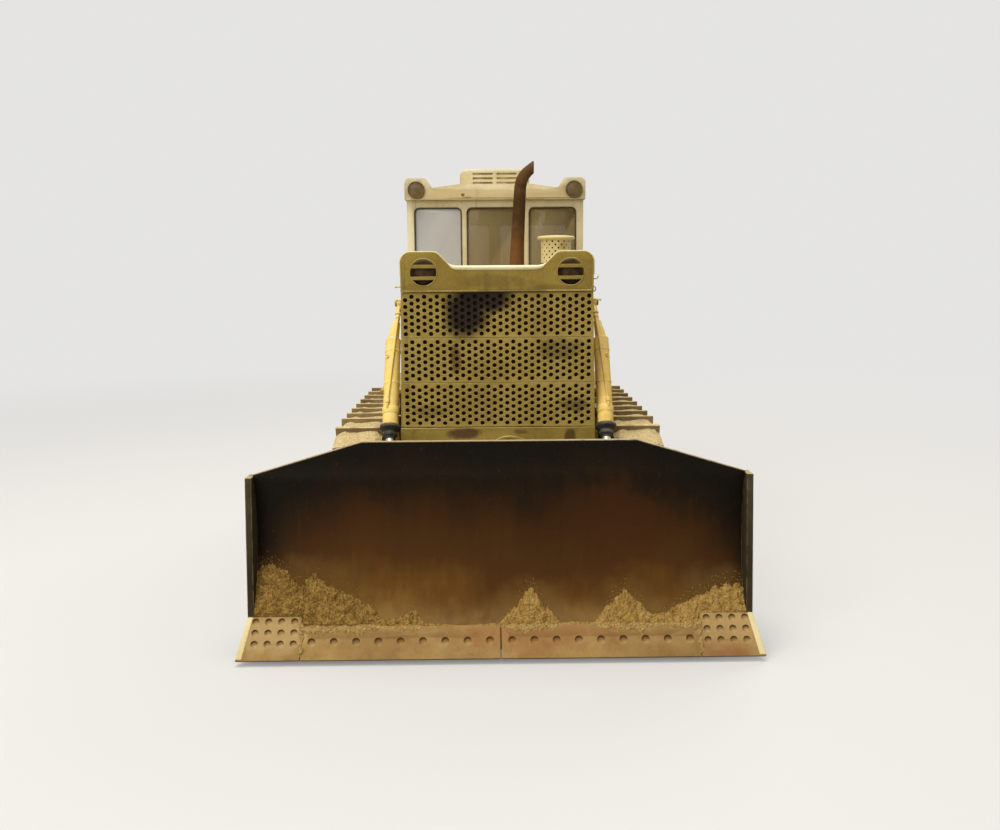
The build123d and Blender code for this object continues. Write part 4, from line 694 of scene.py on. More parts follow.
def plain_mesh(item: Object, name: str) -> Mesh:
    """Apply an object's modifiers.

    Args:
        item: The object, which is removed.
        name: Name of the new mesh.

    Returns:
        The evaluated mesh.
    """
    bpy.context.view_layer.update()
    graph = bpy.context.evaluated_depsgraph_get()
    mesh = bpy.data.meshes.new_from_object(item.evaluated_get(graph), depsgraph=graph)
    mesh.name = name
    discard(item)
    return mesh


def bevelled(mesh: Mesh, name: str, width: float, segments: int) -> Mesh:
    """Round a mesh's sharp edges.

    Args:
        mesh: The mesh, which is used up.
        name: Name of the result.
        width: Rounding in millimetres.
        segments: Steps across each rounding.

    Returns:
        The rounded mesh.
    """
    item = new_object(name + "_work", mesh)
    bevel = item.modifiers.new("rounding", "BEVEL")
    bevel.width = width * MM
    bevel.segments = segments
    bevel.limit_method = "ANGLE"
    bevel.angle_limit = radians(SHARP)
    return plain_mesh(item, name)


def show(
    name: str, mesh: Mesh, material: Material, replaced: Iterable[str] = (), body: Body = Body.CHASSIS
) -> None:
    """Dress a mesh, let it ride on a body and hide the CAD nodes that it stands for.

    Args:
        name: Name of the piece.
        mesh: Its mesh in the frame's metres.
        material: Its finish.
        replaced: CAD nodes that it stands for.
        body: The body that it moves with.
    """
    dress(mesh, material)
    item = new_object(name, mesh)
    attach(item, body.value)
    names = list(replaced)
    if names:
        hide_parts(*names)
    LOG.info("%s: %d faces on %s", name, len(mesh.polygons), body.value)


def rounded(node: str, width: float, segments: int = 2, rim: float = 0.0) -> Mesh:
    """Copy a CAD node with its sharp edges rounded.

    Args:
        node: Name of the node.
        width: Rounding in millimetres.
        segments: Steps across each rounding.
        rim: Rounding of the uppermost rim in millimetres, before the rest.

    Returns:
        The rounded mesh.
    """
    work = bmesh.new()
    work.from_mesh(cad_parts[node].data)
    bmesh.ops.remove_doubles(work, verts=work.verts, dist=MERGE)
    bmesh.ops.dissolve_limit(
        work, angle_limit=radians(0.6), verts=work.verts, edges=work.edges, use_dissolve_boundaries=False
    )
    if rim > 0.0:
        top = max(vert.co.z for vert in work.verts) - 0.05 * MM
        upper = [edge for edge in work.edges if min(vert.co.z for vert in edge.verts) > top]
        edges = [edge for edge in upper if edge.calc_face_angle(0.0) > 0.7]
        bmesh.ops.bevel(work, geom=edges, offset=rim * MM, segments=5, profile=0.5, affect="EDGES")
    result = bevelled(baked(work, node), node + "_rounded", width, segments)
    smooth(result)
    return result


def coats(rows: Iterable[tuple[str, str, float, Material]], body: Body = Body.CHASSIS) -> None:
    """Show CAD nodes by rows of the piece's name, the node, its rounding in millimetres and its finish."""
    for name, node, width, finish in rows:
        show(name, rounded(node, width), finish, [node], body)


class Builder:
    """A bmesh with short calls for the forms used here, with sizes in millimetres."""

    def __init__(self) -> None:
        """Start empty."""
        self.work = bmesh.new()

    def ring(self, points: Iterable[Vector]) -> Verts:
        """Add vertices at points."""
        return [self.work.verts.new(point) for point in points]

    def circle(self, centre: Vector, side: Vector, over: Vector, radius: float, steps: int) -> Verts:
        """Add a ring of vertices round a centre, in the plane of two unit vectors."""
        turns = [2 * pi * step / steps for step in range(steps)]
        return self.ring(centre + (side * cos(t) + over * sin(t)) * radius * MM for t in turns)

    def join(self, rings: Sequence[Verts]) -> None:
        """Join rings of as many vertices in a row by quads."""
        for first, second in zip(rings, rings[1:]):
            for index, vert in enumerate(first):
                after = (index + 1) % len(first)
                self.work.faces.new((vert, first[after], second[after], second[index]))

    def skin(self, rings: Sequence[Verts], loop: bool = False) -> None:
        """Join rings in a row into a closed form.

        Args:
            rings: The rings, each of as many vertices.
            loop: Whether the last ring joins the first, instead of both being capped.
        """
        self.join(rings)
        if loop:
            self.join([rings[-1], rings[0]])
        else:
            self.work.faces.new(list(reversed(rings[0])))
            self.work.faces.new(rings[-1])

    def lathe(self, start: Vector, way: Vector, profile: Profile, steps: int, loop: bool = False) -> None:
        """Turn a profile round an axis.

        Args:
            start: Where the distance along the axis is 0, in metres.
            way: The axis' direction.
            profile: Distances along the axis and radii.
            steps: Facets round the axis.
            loop: Whether the profile closes on itself, as on a ring.
        """
        way = way.normalized()
        side = way.orthogonal().normalized()
        over = way.cross(side)
        rings = [self.circle(start + way * along * MM, side, over, radius, steps) for along, radius in profile]
        self.skin(rings, loop)

    def tube(self, points: Sequence[Vector], radii: Sequence[float] | float, steps: int = 12) -> None:
        """Sweep a round bar along points, closing its ends.

        Args:
            points: The middle line in metres.
            radii: The bar's radius, or its radius at each point.
            steps: Facets round the bar.
        """
        bars = [radii] * len(points) if isinstance(radii, float) else radii
        side = (points[1] - points[0]).orthogonal().normalized()
        rings = []
        for index, (point, radius) in enumerate(zip(points, bars)):
            way = points[min(index + 1, len(points) - 1)] - points[max(index - 1, 0)]
            way.normalize()
            side = (side - way * side.dot(way)).normalized()
            rings.append(self.circle(point, side, way.cross(side), radius, steps))
        self.skin(rings)

    def block(self, low: Vector, high: Vector) -> None:
        """Add a box between two corners in metres."""
        made = bmesh.ops.create_cube(self.work, size=1.0)
        size = high - low
        middle = (high + low) / 2
        for vert in made["verts"]:
            vert.co = Vector(vert.co[i] * size[i] + middle[i] for i in range(3))

    def mesh(self, name: str, width: float = 0.0, segments: int = 2) -> Mesh:
        """Finish the mesh, rounding its sharp edges if asked.

        Args:
            name: Name of the mesh.
            width: Rounding in millimetres.
            segments: Steps across each rounding.

        Returns:
            The mesh.
        """
        bmesh.ops.recalc_face_normals(self.work, faces=self.work.faces)
        mesh = baked(self.work, name)
        if width > 0.0:
            mesh = bevelled(mesh, name, width, segments)
        smooth(mesh)
        return mesh

    def show(
        self, name: str, material: Material, replaced: Iterable[str] = (), body: Body = Body.CHASSIS, width: float = 0.0
    ) -> None:
        """Finish the mesh and show it as a piece of the same name; the rest is as for show and mesh."""
        show(name, self.mesh(name, width), material, replaced, body)


def turned(name: str, way: Vector, profile: Profile, steps: int) -> Object:
    """Turn a form at the origin that is then repeated.

    Args:
        name: Name of the form.
        way: Its axis.
        profile: Distances along the axis and radii in millimetres.
        steps: Facets round the axis.

    Returns:
        The form as an object.
    """
    build = Builder()
    build.lathe(Vector((0, 0, 0)), way, profile, steps)
    return new_object(name, build.mesh(name))


def cut(mesh: Mesh, cutters: Mesh) -> Mesh:
    """Sink recesses into a mesh.

    Args:
        mesh: The closed mesh that is cut.
        cutters: Closed meshes of what is taken out.

    Returns:
        The cut mesh.
    """
    item = new_object(mesh.name + "_work", mesh)
    tool = new_object(cutters.name + "_work", cutters)
    change = item.modifiers.new("recesses", "BOOLEAN")
    change.operation = "DIFFERENCE"
    change.solver = "EXACT"
    change.object = tool
    result = plain_mesh(item, mesh.name)
    discard(tool)
    smooth(result)
    return result


def bend(points: Profile, radius: float, steps: int = 6) -> list[tuple[float, float]]:
    """Round the inner corners of a line in a plane.

    Args:
        points: The line's ends and corners in millimetres.
        radius: Radius at each corner.
        steps: Facets round each corner.

    Returns:
        The rounded line.
    """
    line = [Vector(point) for point in points]
    result = [tuple(line[0])]
    for before, corner, after in zip(line, line[1:], line[2:]):
        first, second = (before - corner).normalized(), (after - corner).normalized()
        half = first.angle(second) / 2
        middle = corner + (first + second).normalized() * radius / sin(half)
        start, end = (corner + way * radius / tan(half) - middle for way in (first, second))
        for step in range(steps + 1):
            result.append(tuple(middle + start.lerp(end, step / steps).normalized() * radius))
    return result + [tuple(line[-1])]


class NodeTool(Tree):
    """A Geometry Nodes tree with named inputs, applied to a host mesh."""

    def __init__(self, name: str, inputs: dict[str, str]) -> None:
        """Start a tree with a geometry input and output.

        Args:
            name: The tree's name.
            inputs: Socket kinds of its other inputs by name.
        """
        super().__init__(bpy.data.node_groups.new(name, "GeometryNodeTree"))
        for side in ("INPUT", "OUTPUT"):
            self.tree.interface.new_socket("Geometry", in_out=side, socket_type="NodeSocketGeometry")
        for label, kind in inputs.items():
            self.tree.interface.new_socket(label, in_out="INPUT", socket_type="NodeSocket" + kind)
        self.start = self.tree.nodes.new("NodeGroupInput")
        self.end = self.tree.nodes.new("NodeGroupOutput")

    def __getitem__(self, name: str) -> Socket:
        """One of the tree's inputs."""
        return self.start.outputs[name]

    def vector(self, operation: str, first: object, second: object) -> Socket:
        """A function of two vectors."""
        return self.node("ShaderNodeVectorMath", {0: first, 1: second}, operation=operation).outputs[0]

    def spread(self, count: Socket, place: Socket) -> Socket:
        """As many points as asked, each at its place."""
        line = self.node("GeometryNodeMeshLine", {"Count": count}, mode="OFFSET")
        return self.node("GeometryNodeSetPosition", {"Geometry": line.outputs[0], "Position": place}).outputs[0]

    def copies(self, piece: str, points: Socket, **placing: Socket) -> Socket:
        """Set a piece on points.

        Args:
            piece: Name of the input that holds it.
            points: Where the copies go.
            **placing: The copies' Rotation and Scale.

        Returns:
            The instances.
        """
        source = self.node("GeometryNodeObjectInfo", {"Object": self[piece]})
        links = {"Points": points, "Instance": source.outputs["Geometry"], **placing}
        return self.node("GeometryNodeInstanceOnPoints", links).outputs[0]

    def close(self, instances: Socket) -> None:
        """End the tree in realised, dressed geometry."""
        real = self.node("GeometryNodeRealizeInstances", {"Geometry": instances})
        links = {"Geometry": real.outputs[0], "Material": self["Material"]}
        self.tree.links.new(self.node("GeometryNodeSetMaterial", links).outputs[0], self.end.inputs[0])

    def run(self, name: str, values: dict[str, object], host: Mesh | None = None) -> Mesh:
        """Apply the tree to a mesh.

        Args:
            name: Name of the result.
            values: Input values by name.
            host: The mesh that the tree starts from, or none for an empty one.

        Returns:
            The plain mesh.
        """
        item = new_object(name + "_host", host or bpy.data.meshes.new(name + "_host"))
        modifier = item.modifiers.new(name, "NODES")
        modifier.node_group = self.tree
        for entry in self.tree.interface.items_tree:
            if entry.in_out == "INPUT" and entry.name in values:
                modifier[entry.identifier] = values[entry.name]
        mesh = plain_mesh(item, name)
        smooth(mesh)
        return mesh


class GridTool(NodeTool):
    """A tree that repeats a piece on a straight or staggered grid in X and Z."""

    def __init__(self) -> None:
        """Build the tree."""
        super().__init__("staggered grid", {
            "Piece": "Object", "Columns": "Int", "Rows": "Int", "Column pitch": "Float", "Row pitch": "Float",
            "Stagger": "Float", "First": "Vector", "Material": "Material",
        })
        rows = self["Rows"]
        index = self.node("GeometryNodeInputIndex").outputs[0]
        column = self.math("FLOOR", self.math("DIVIDE", index, rows))
        row = self.less(index, self.times(column, rows))
        shift = self.times(self.math("MODULO", column, 2.0), self["Stagger"])
        place = self.node("ShaderNodeCombineXYZ", {
            "X": self.times(column, self["Column pitch"]),
            "Z": self.times(self.plus(row, shift), self["Row pitch"]),
        })
        moved = self.vector("ADD", place.outputs[0], self["First"])
        self.close(self.copies("Piece", self.spread(self.times(self["Columns"], rows), moved)))

    def repeat(
        self, piece: Object, counts: tuple[int, int], pitch: tuple[float, float], first: Vector,
        material: Material, stagger: float = 0.0,
    ) -> Mesh:
        """Repeat a piece in columns and rows at a pitch in millimetres, every other column raised by a share."""
        return self.run(piece.name + "_rows", {
            "Piece": piece, "Columns": counts[0], "Rows": counts[1], "Stagger": stagger,
            "Column pitch": pitch[0] * MM, "Row pitch": pitch[1] * MM, "First": first, "Material": material,
        })


class RingTool(NodeTool):
    """A tree that repeats a piece round the Z axis, turning each copy outwards."""

    def __init__(self) -> None:
        """Build the tree."""
        super().__init__("ring of pieces", {
            "Piece": "Object", "Count": "Int", "Radius": "Float", "Height": "Float", "Start angle": "Float",
            "Material": "Material",
        })
        share = self.math("DIVIDE", self.node("GeometryNodeInputIndex").outputs[0], self["Count"])
        turn = self.plus(self.times(share, 2 * pi), self["Start angle"])
        x, y = (self.times(self.math(way, turn), self["Radius"]) for way in ("COSINE", "SINE"))
        place = self.node("ShaderNodeCombineXYZ", {"X": x, "Y": y, "Z": self["Height"]})
        facing = self.node("ShaderNodeCombineXYZ", {"Z": turn})
        points = self.spread(self["Count"], place.outputs[0])
        self.close(self.copies("Piece", points, Rotation=facing.outputs[0]))

    def repeat(
        self, piece: Object, count: int, radius: float, material: Material, height: float = 0.0, start: float = 0.0
    ) -> Mesh:
        """Repeat a piece on a ring of a radius and a height in millimetres, from an angle in radians."""
        return self.run(piece.name + "_ring", {
            "Piece": piece, "Count": count, "Radius": radius * MM, "Height": height * MM, "Start angle": start,
            "Material": material,
        })


class ChainTool(NodeTool):
    """A tree that sets a piece on every edge of a path, standing outwards."""

    def __init__(self) -> None:
        """Build the tree."""
        super().__init__("chain on path", {"Link": "Object", "Material": "Material"})
        ends = self.node("GeometryNodeInputMeshEdgeVertices")
        way = self.vector("SUBTRACT", ends.outputs["Position 2"], ends.outputs["Position 1"])
        keep = self.node("GeometryNodeCaptureAttribute", {"Geometry": self["Geometry"]}, domain="EDGE")
        keep.capture_items.new("VECTOR", "Way")
        self.tree.links.new(way, keep.inputs["Way"])
        points = self.node("GeometryNodeMeshToPoints", {"Mesh": keep.outputs["Geometry"]}, mode="EDGES")
        out = self.vector("CROSS_PRODUCT", keep.outputs["Way"], (1.0, 0.0, 0.0))
        along = self.node("FunctionNodeAlignRotationToVector", {"Vector": keep.outputs["Way"]}, axis="Y")
        stand = self.node(
            "FunctionNodeAlignRotationToVector", {"Rotation": along.outputs[0], "Vector": out}, axis="Z", pivot_axis="Y"
        )
        self.close(self.copies("Link", points.outputs[0], Rotation=stand.outputs[0]))


class GrainTool(NodeTool):
    """A tree that scatters grains over a surface, and keeps the surface if asked."""

    def __init__(self) -> None:
        """Build the tree."""
        super().__init__("scattered grains", {
            "Grain": "Object", "Density": "Float", "Smallest": "Float", "Largest": "Float", "Seed": "Int",
            "Keep ground": "Bool", "Material": "Material",
        })
        ground, seed = self["Geometry"], {"Seed": self["Seed"]}
        points = self.node("GeometryNodeDistributePointsOnFaces", {"Mesh": ground, "Density": self["Density"], **seed})
        limits = {2: self["Smallest"], 3: self["Largest"]}
        size = self.node("FunctionNodeRandomValue", {**limits, **seed}, data_type="FLOAT")
        turn = self.node("FunctionNodeRandomValue", {1: (6.28, 6.28, 6.28), **seed}, data_type="FLOAT_VECTOR")
        grains = self.copies("Grain", points.outputs["Points"], Rotation=turn.outputs[0], Scale=size.outputs[1])
        kept = self.node("GeometryNodeSwitch", {"Switch": self["Keep ground"], "True": ground}, input_type="GEOMETRY")
        joined = self.node("GeometryNodeJoinGeometry")
        for part in (kept.outputs[0], grains):
            self.tree.links.new(part, joined.inputs[0])
        self.close(joined.outputs[0])


@dataclass
class Studio:
    """Pale floor, soft lamps and the photograph's camera."""

    distance: float = 278.9
    eye_height: float = 121.4
    side: float = -2.5
    pitch: float = 8.8
    yaw: float = -0.54
    roll: float = -0.4
    lens: float = 34.2
    floor_radius: float = 9.0
    lamp_size: float = 0.7
    sky: float = 0.4
    paper: Colour = (0.5, 0.495, 0.485)
    room: Colour = (0.78, 0.775, 0.76)

    @staticmethod
    def backdrop_rays(tree: Tree) -> Socket:
        """A mask of the rays that see the background itself, in mirrors and glass too."""
        path = tree.node("ShaderNodeLightPath").outputs
        total = tree.math("MAXIMUM", path["Is Camera Ray"], path["Is Glossy Ray"])
        return tree.math("MAXIMUM", total, path["Is Transmission Ray"])

    def floor(self) -> None:
        """Lay a wide pale floor that fades into the pale room."""
        work = bmesh.new()
        bmesh.ops.create_circle(work, cap_ends=True, segments=64, radius=self.floor_radius)
        mesh = baked(work, "pale_floor")
        g = Graph("pale floor")
        square = [g.times(axis, axis) for axis in list(g.axes)[:2]]
        far = g.level(g.math("SQRT", g.plus(*square)), 0.16, 0.85)
        g.set("Base Color", g.mix(far, self.paper, (0.0, 0.0, 0.0)))
        g.set("Emission Color", self.room)
        glow = g.plus(g.times(far, 0.75), 0.25)
        g.set("Emission Strength", g.times(glow, self.backdrop_rays(g)))
        g.set("Roughness", 0.95)
        g.set("Specular IOR Level", 0.0)
        mesh.materials.append(g.material)
        new_object("pale_floor", mesh)

    def lights(self) -> None:
        """Hang the square soft lamps and light the room."""
        target = Vector((0.0, 0.0, 0.07))
        for name, place, power, colour in (
            ("top_lamp", (-0.12, -0.16, 0.95), 7.6, (1.0, 0.97, 0.92)),
            ("front_lamp", (-0.55, -0.85, 0.55), 5.7, (1.0, 0.97, 0.92)),
            ("back_lamp", (0.55, 0.8, 0.6), 4.0, (1.0, 0.98, 0.95)),
        ):
            data = bpy.data.lights.new(name, "AREA")
            data.size = self.lamp_size
            data.energy = power
            data.color = colour
            item = bpy.data.objects.new(name, data)
            item.location = place
            item.rotation_euler = (target - Vector(place)).to_track_quat("-Z", "Y").to_euler()
            bpy.context.scene.collection.objects.link(item)
        world = bpy.data.worlds.new("soft room")
        world.use_nodes = True
        tree = Tree(world.node_tree)
        sky, output = (world.node_tree.nodes[name] for name in ("Background", "World Output"))
        tree.feed(sky.inputs[0], (1.0, 0.98, 0.95))
        tree.feed(sky.inputs[1], self.sky)
        seen = tree.node("ShaderNodeBackground", {0: self.room})
        links = {0: self.backdrop_rays(tree), 1: sky.outputs[0], 2: seen.outputs[0]}
        tree.feed(output.inputs[0], tree.node("ShaderNodeMixShader", links).outputs[0])
        bpy.context.scene.world = world

    def camera(self) -> None:
        """Set up the camera at the photograph's view."""
        data = bpy.data.cameras.new("photo_camera")
        data.lens = self.lens
        data.sensor_width = 36.0
        data.sensor_fit = "HORIZONTAL"
        data.clip_start = 0.01
        item = bpy.data.objects.new("photo_camera", data)
        item.location = at(self.side, -self.distance, self.eye_height)
        turn = Matrix.Rotation(radians(self.yaw), 4, "Z") @ Matrix.Rotation(radians(90.0 - self.pitch), 4, "X")
        turn = turn @ Matrix.Rotation(radians(self.roll), 4, "Z")
        item.rotation_euler = turn.to_euler()
        bpy.context.scene.collection.objects.link(item)
        bpy.context.scene.camera = item
        bpy.context.scene.view_settings.view_transform = "Standard"

    def build(self) -> None:
        """Set the whole studio up."""
        self.floor()
        self.lights()
        self.camera()


@dataclass
class Assembly:
    """A sub-assembly that dresses its pieces in the model's finishes."""

    finishes: Finishes


@dataclass
class Guard(Assembly):
    """The radiator guard with its perforated panels, lamps and latches."""

    station: float = 60.0
    head: float = 59.2
    thickness: float = 0.9
    backing: float = 1.15
    bottom: float = 64.7
    panel_height: float = 16.1
    panels: int = 3
    half_bottom: float = 35.0
    half_top: float = 34.1
    gap: float = 0.12
    fold: float = 0.2
    columns: int = 30
    rows: int = 6
    column_pitch: float = 2.25
    row_pitch: float = 2.4
    hole_radius: float = 0.8
    hole_steps: int = 12
    notch_half: float = 14.5
    notch_top: float = 121.6
    ear_top: float = 127.1
    ear_corner: float = 3.6
    ramp_half: float = 21.4
    lamp_x: float = 26.0
    lamp_height: float = 120.0
    lamp_radius: float = 4.7
    lamp_rim: float = 0.2
    latch_station: float = 62.6
    side: float = 33.8

    def half(self, height: float) -> float:
        """Half width of the tapered front at a height."""
        share = (height - self.bottom) / (self.panels * self.panel_height)
        return self.half_bottom + share * (self.half_top - self.half_bottom)

    def panel_span(self, number: int) -> tuple[float, float, float]:
        """Lower edge, upper edge and first row's lower edge of a panel."""
        low = self.bottom + number * self.panel_height
        high = low + self.panel_height - self.gap
        return low, high, (low + high) / 2 - (self.rows + 0.5) * self.row_pitch / 2

    def cell(self) -> Object:
        """One rectangle of sheet with a round hole and its wall.

        Returns:
            The cell, centred on its hole at the panel's front.
        """
        build = Builder()
        wide, high = self.column_pitch / 2, self.row_pitch / 2
        turns = [2 * pi * step / self.hole_steps + pi / 12 for step in range(self.hole_steps)]
        reaches = [min(wide / abs(cos(t)), high / abs(sin(t))) for t in turns]
        rings = [build.ring(mm(r * cos(t), 0.0, r * sin(t)) for r, t in zip(reaches, turns))]
        radius = self.hole_radius
        for depth, reach in ((0.0, radius * 1.03), (0.07, radius), (self.thickness, radius)):
            rings.append(build.ring(mm(reach * cos(t), depth, reach * sin(t)) for t in turns))
        build.join(rings)
        return new_object("grille_cell", build.mesh("grille_cell"))

    def sheet_rim(self, number: int) -> Mesh:
        """The plain rim of a panel round its field of holes, with folded edges.

        Args:
            number: Which panel, from the bottom.

        Returns:
            The mesh.
        """
        low, high, field_low = self.panel_span(number)
        field_high = field_low + (self.rows + 0.5) * self.row_pitch
        span = self.columns * self.column_pitch / 2
        fold = self.fold
        build = Builder()
        outer = [(-self.half(low), low), (self.half(low), low), (self.half(high), high), (-self.half(high), high)]
        inner = [(-span, field_low), (span, field_low), (span, field_high), (-span, field_high)]
        ways = [(1 if x > 0 else -1, -1 if z == low else 1) for x, z in outer]
        shrunk = [(x - fold * dx * 0.5, z - fold * dz * 0.5) for (x, z), (dx, dz) in zip(outer, ways)]
        section = (
            (inner, 0.0), (shrunk, 0.0), (outer, fold * 0.5), (outer, self.thickness), (inner, self.thickness)
        )
        rings = [build.ring(at(x, self.station + depth, z) for x, z in points) for points, depth in section]
        build.skin(rings, loop=True)
        for column in range(self.columns):
            left = -span + column * self.column_pitch
            right = left + self.column_pitch
            start = field_low + (0.0 if column % 2 else self.rows * self.row_pitch)
            stop = start + self.row_pitch / 2
            corners = [(left, start), (right, start), (right, stop), (left, stop)]
            build.work.faces.new(build.ring(at(x, self.station, z) for x, z in corners))
        return build.mesh("panel_rim")

    def grille(self) -> None:
        """Build the three perforated panels as one piece, with a dark sheet behind them that paints the shade inside
        the holes.
        """
        finish = self.finishes.panel
        cell = self.cell()
        tool = GridTool()
        work = bmesh.new()
        shade_sheet = Builder()
        for number in range(self.panels):
            low, high, field_low = self.panel_span(number)
            first = at(-(self.columns - 1) * self.column_pitch / 2, self.station, field_low + self.row_pitch / 2)
            counts, pitch = (self.columns, self.rows), (self.column_pitch, self.row_pitch)
            work.from_mesh(tool.repeat(cell, counts, pitch, first, finish, stagger=0.5))
            work.from_mesh(self.sheet_rim(number))
            half = self.half(high) - 0.1
            # Painted shade: a dark sheet close behind each panel's holes.
            shade_sheet.block(at(-half, self.station + self.thickness, low), at(half, self.station + self.backing, high))
        discard(cell)
        bmesh.ops.remove_doubles(work, verts=work.verts, dist=1e-6)
        work.normal_update()
        front = at(0, self.station + 0.1, 0).y
        wrong = [face for face in work.faces if face.normal.y > 0.9 and face.calc_center_median().y < front]
        bmesh.ops.reverse_faces(work, faces=wrong)
        mesh = baked(work, "perforated_panels")
        smooth(mesh, 40.0)
        show("perforated_panels", mesh, finish, ["grille_panels"])
        shade_sheet.show("panel_gauze", self.finishes.core, ["grille_panels"])

    def lip(self) -> None:
        """Roll the pale lip along the notch between the lamps; its pale colour is partly worn paint and partly a
        painted highlight.
        """
        path = [
            (17.7, 123.3, 0.2), (17.1, 122.7, 0.36), (16.4, 122.2, 0.55), (15.5, 121.75, 0.74),
            (self.notch_half, self.notch_top - 0.1, 0.84), (9.0, self.notch_top - 0.15, 0.88),
        ]
        path += [(-x, z, bar) for x, z, bar in reversed(path)]
        build = Builder()
        build.tube([at(x, self.head + 0.45, z) for x, z, _ in path], [bar for *_, bar in path], 16)
        build.show("notch_lip", self.finishes.lip)

    def beads(self) -> None:
        """Raise a thin bead round the head panel's sides and foot, and a paler one over its ears."""
        side, foot = self.half_top - 0.35, self.bottom + self.panels * self.panel_height + 0.35
        path = [(-side, 123.4), (-side, 118.0), (-side, foot + 0.6), (-side + 0.6, foot), (0.0, foot)]
        path += [(-x, z) for x, z in reversed(path[:-1])]
        build = Builder()
        build.tube([at(x, self.head + 0.08, z) for x, z in path], 0.3, 10)
        build.show("head_bead", self.finishes.guard)
        line = bend([
            (self.half_top, 119.0), (self.half_top, self.ear_top), (self.ramp_half, self.ear_top), (17.3, 122.9),
        ], self.ear_corner)
        build = Builder()
        for sign in SIGNS:
            build.tube([at(sign * x, self.head + 0.32, z) for x, z in line], 0.32, 10)
        build.show("ear_bead", self.finishes.bowl)

    def latches(self) -> None:
        """Add the small latch pins, a hook and a loop on the guard's sides."""
        build = Builder()
        root = self.side - 0.4
        for sign, height, reach in ((-1, 115.0, 36.4), (-1, 110.2, 36.0), (1, 110.0, 37.2)):
            length = reach - root
            build.lathe(at(sign * root, self.latch_station, height), ACROSS * sign, [
                (0, 0.3), (length - 0.5, 0.3), (length - 0.45, 0.48), (length - 0.05, 0.48), (length, 0.36),
            ], 12)
        hook = [(root, 117.4), (35.2, 117.4), (35.7, 117.5), (35.9, 117.9), (36.0, 118.4)]
        loop = [
            (root, 114.6), (34.7, 114.6), (35.1, 114.3), (35.2, 113.8), (35.1, 113.3), (34.7, 113.0), (root, 113.0),
        ]
        for path in (hook, loop):
            build.tube([at(x, self.latch_station, z) for x, z in path], 0.22, 10)
        build.show("latch_pins", self.finishes.bowl)

    def lamps(self) -> None:
        """Turn the round headlamps behind their bars, with a thin raised rim."""
        lenses, rims = Builder(), Builder()
        turns = [2 * pi * step / 8 for step in range(8)]
        bar = [(self.lamp_rim * sin(t), self.lamp_radius + 0.12 + self.lamp_rim * cos(t)) for t in turns]
        for sign in SIGNS:
            lenses.lathe(at(sign * self.lamp_x, self.station + 4.0, self.lamp_height), -BACK, [
                (0, 4.55), (1.6, 4.6), (1.9, 4.3), (2.2, 3.9), (2.5, 3.0), (2.68, 1.6), (2.74, 0.3),
            ], 32)
            rims.lathe(at(sign * self.lamp_x, self.head, self.lamp_height), BACK, bar, 36, loop=True)
        lenses.show("headlamp_lenses", self.finishes.lens, ["headlamps"])
        rims.show("headlamp_rims", self.finishes.guard)

    def build(self) -> None:
        """Build and dress the guard."""
        self.grille()
        self.lip()
        self.beads()
        self.latches()
        self.lamps()
        finish = self.finishes.guard
        show("guard_head", rounded("head_panel", 0.45, 3), finish, ["head_panel"])
        coats((("guard_box", "radiator_guard", 0.4, finish), ("guard_apron", "apron", 0.22, finish)))
        dress(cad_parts["radiator_core"].data, self.finishes.core)


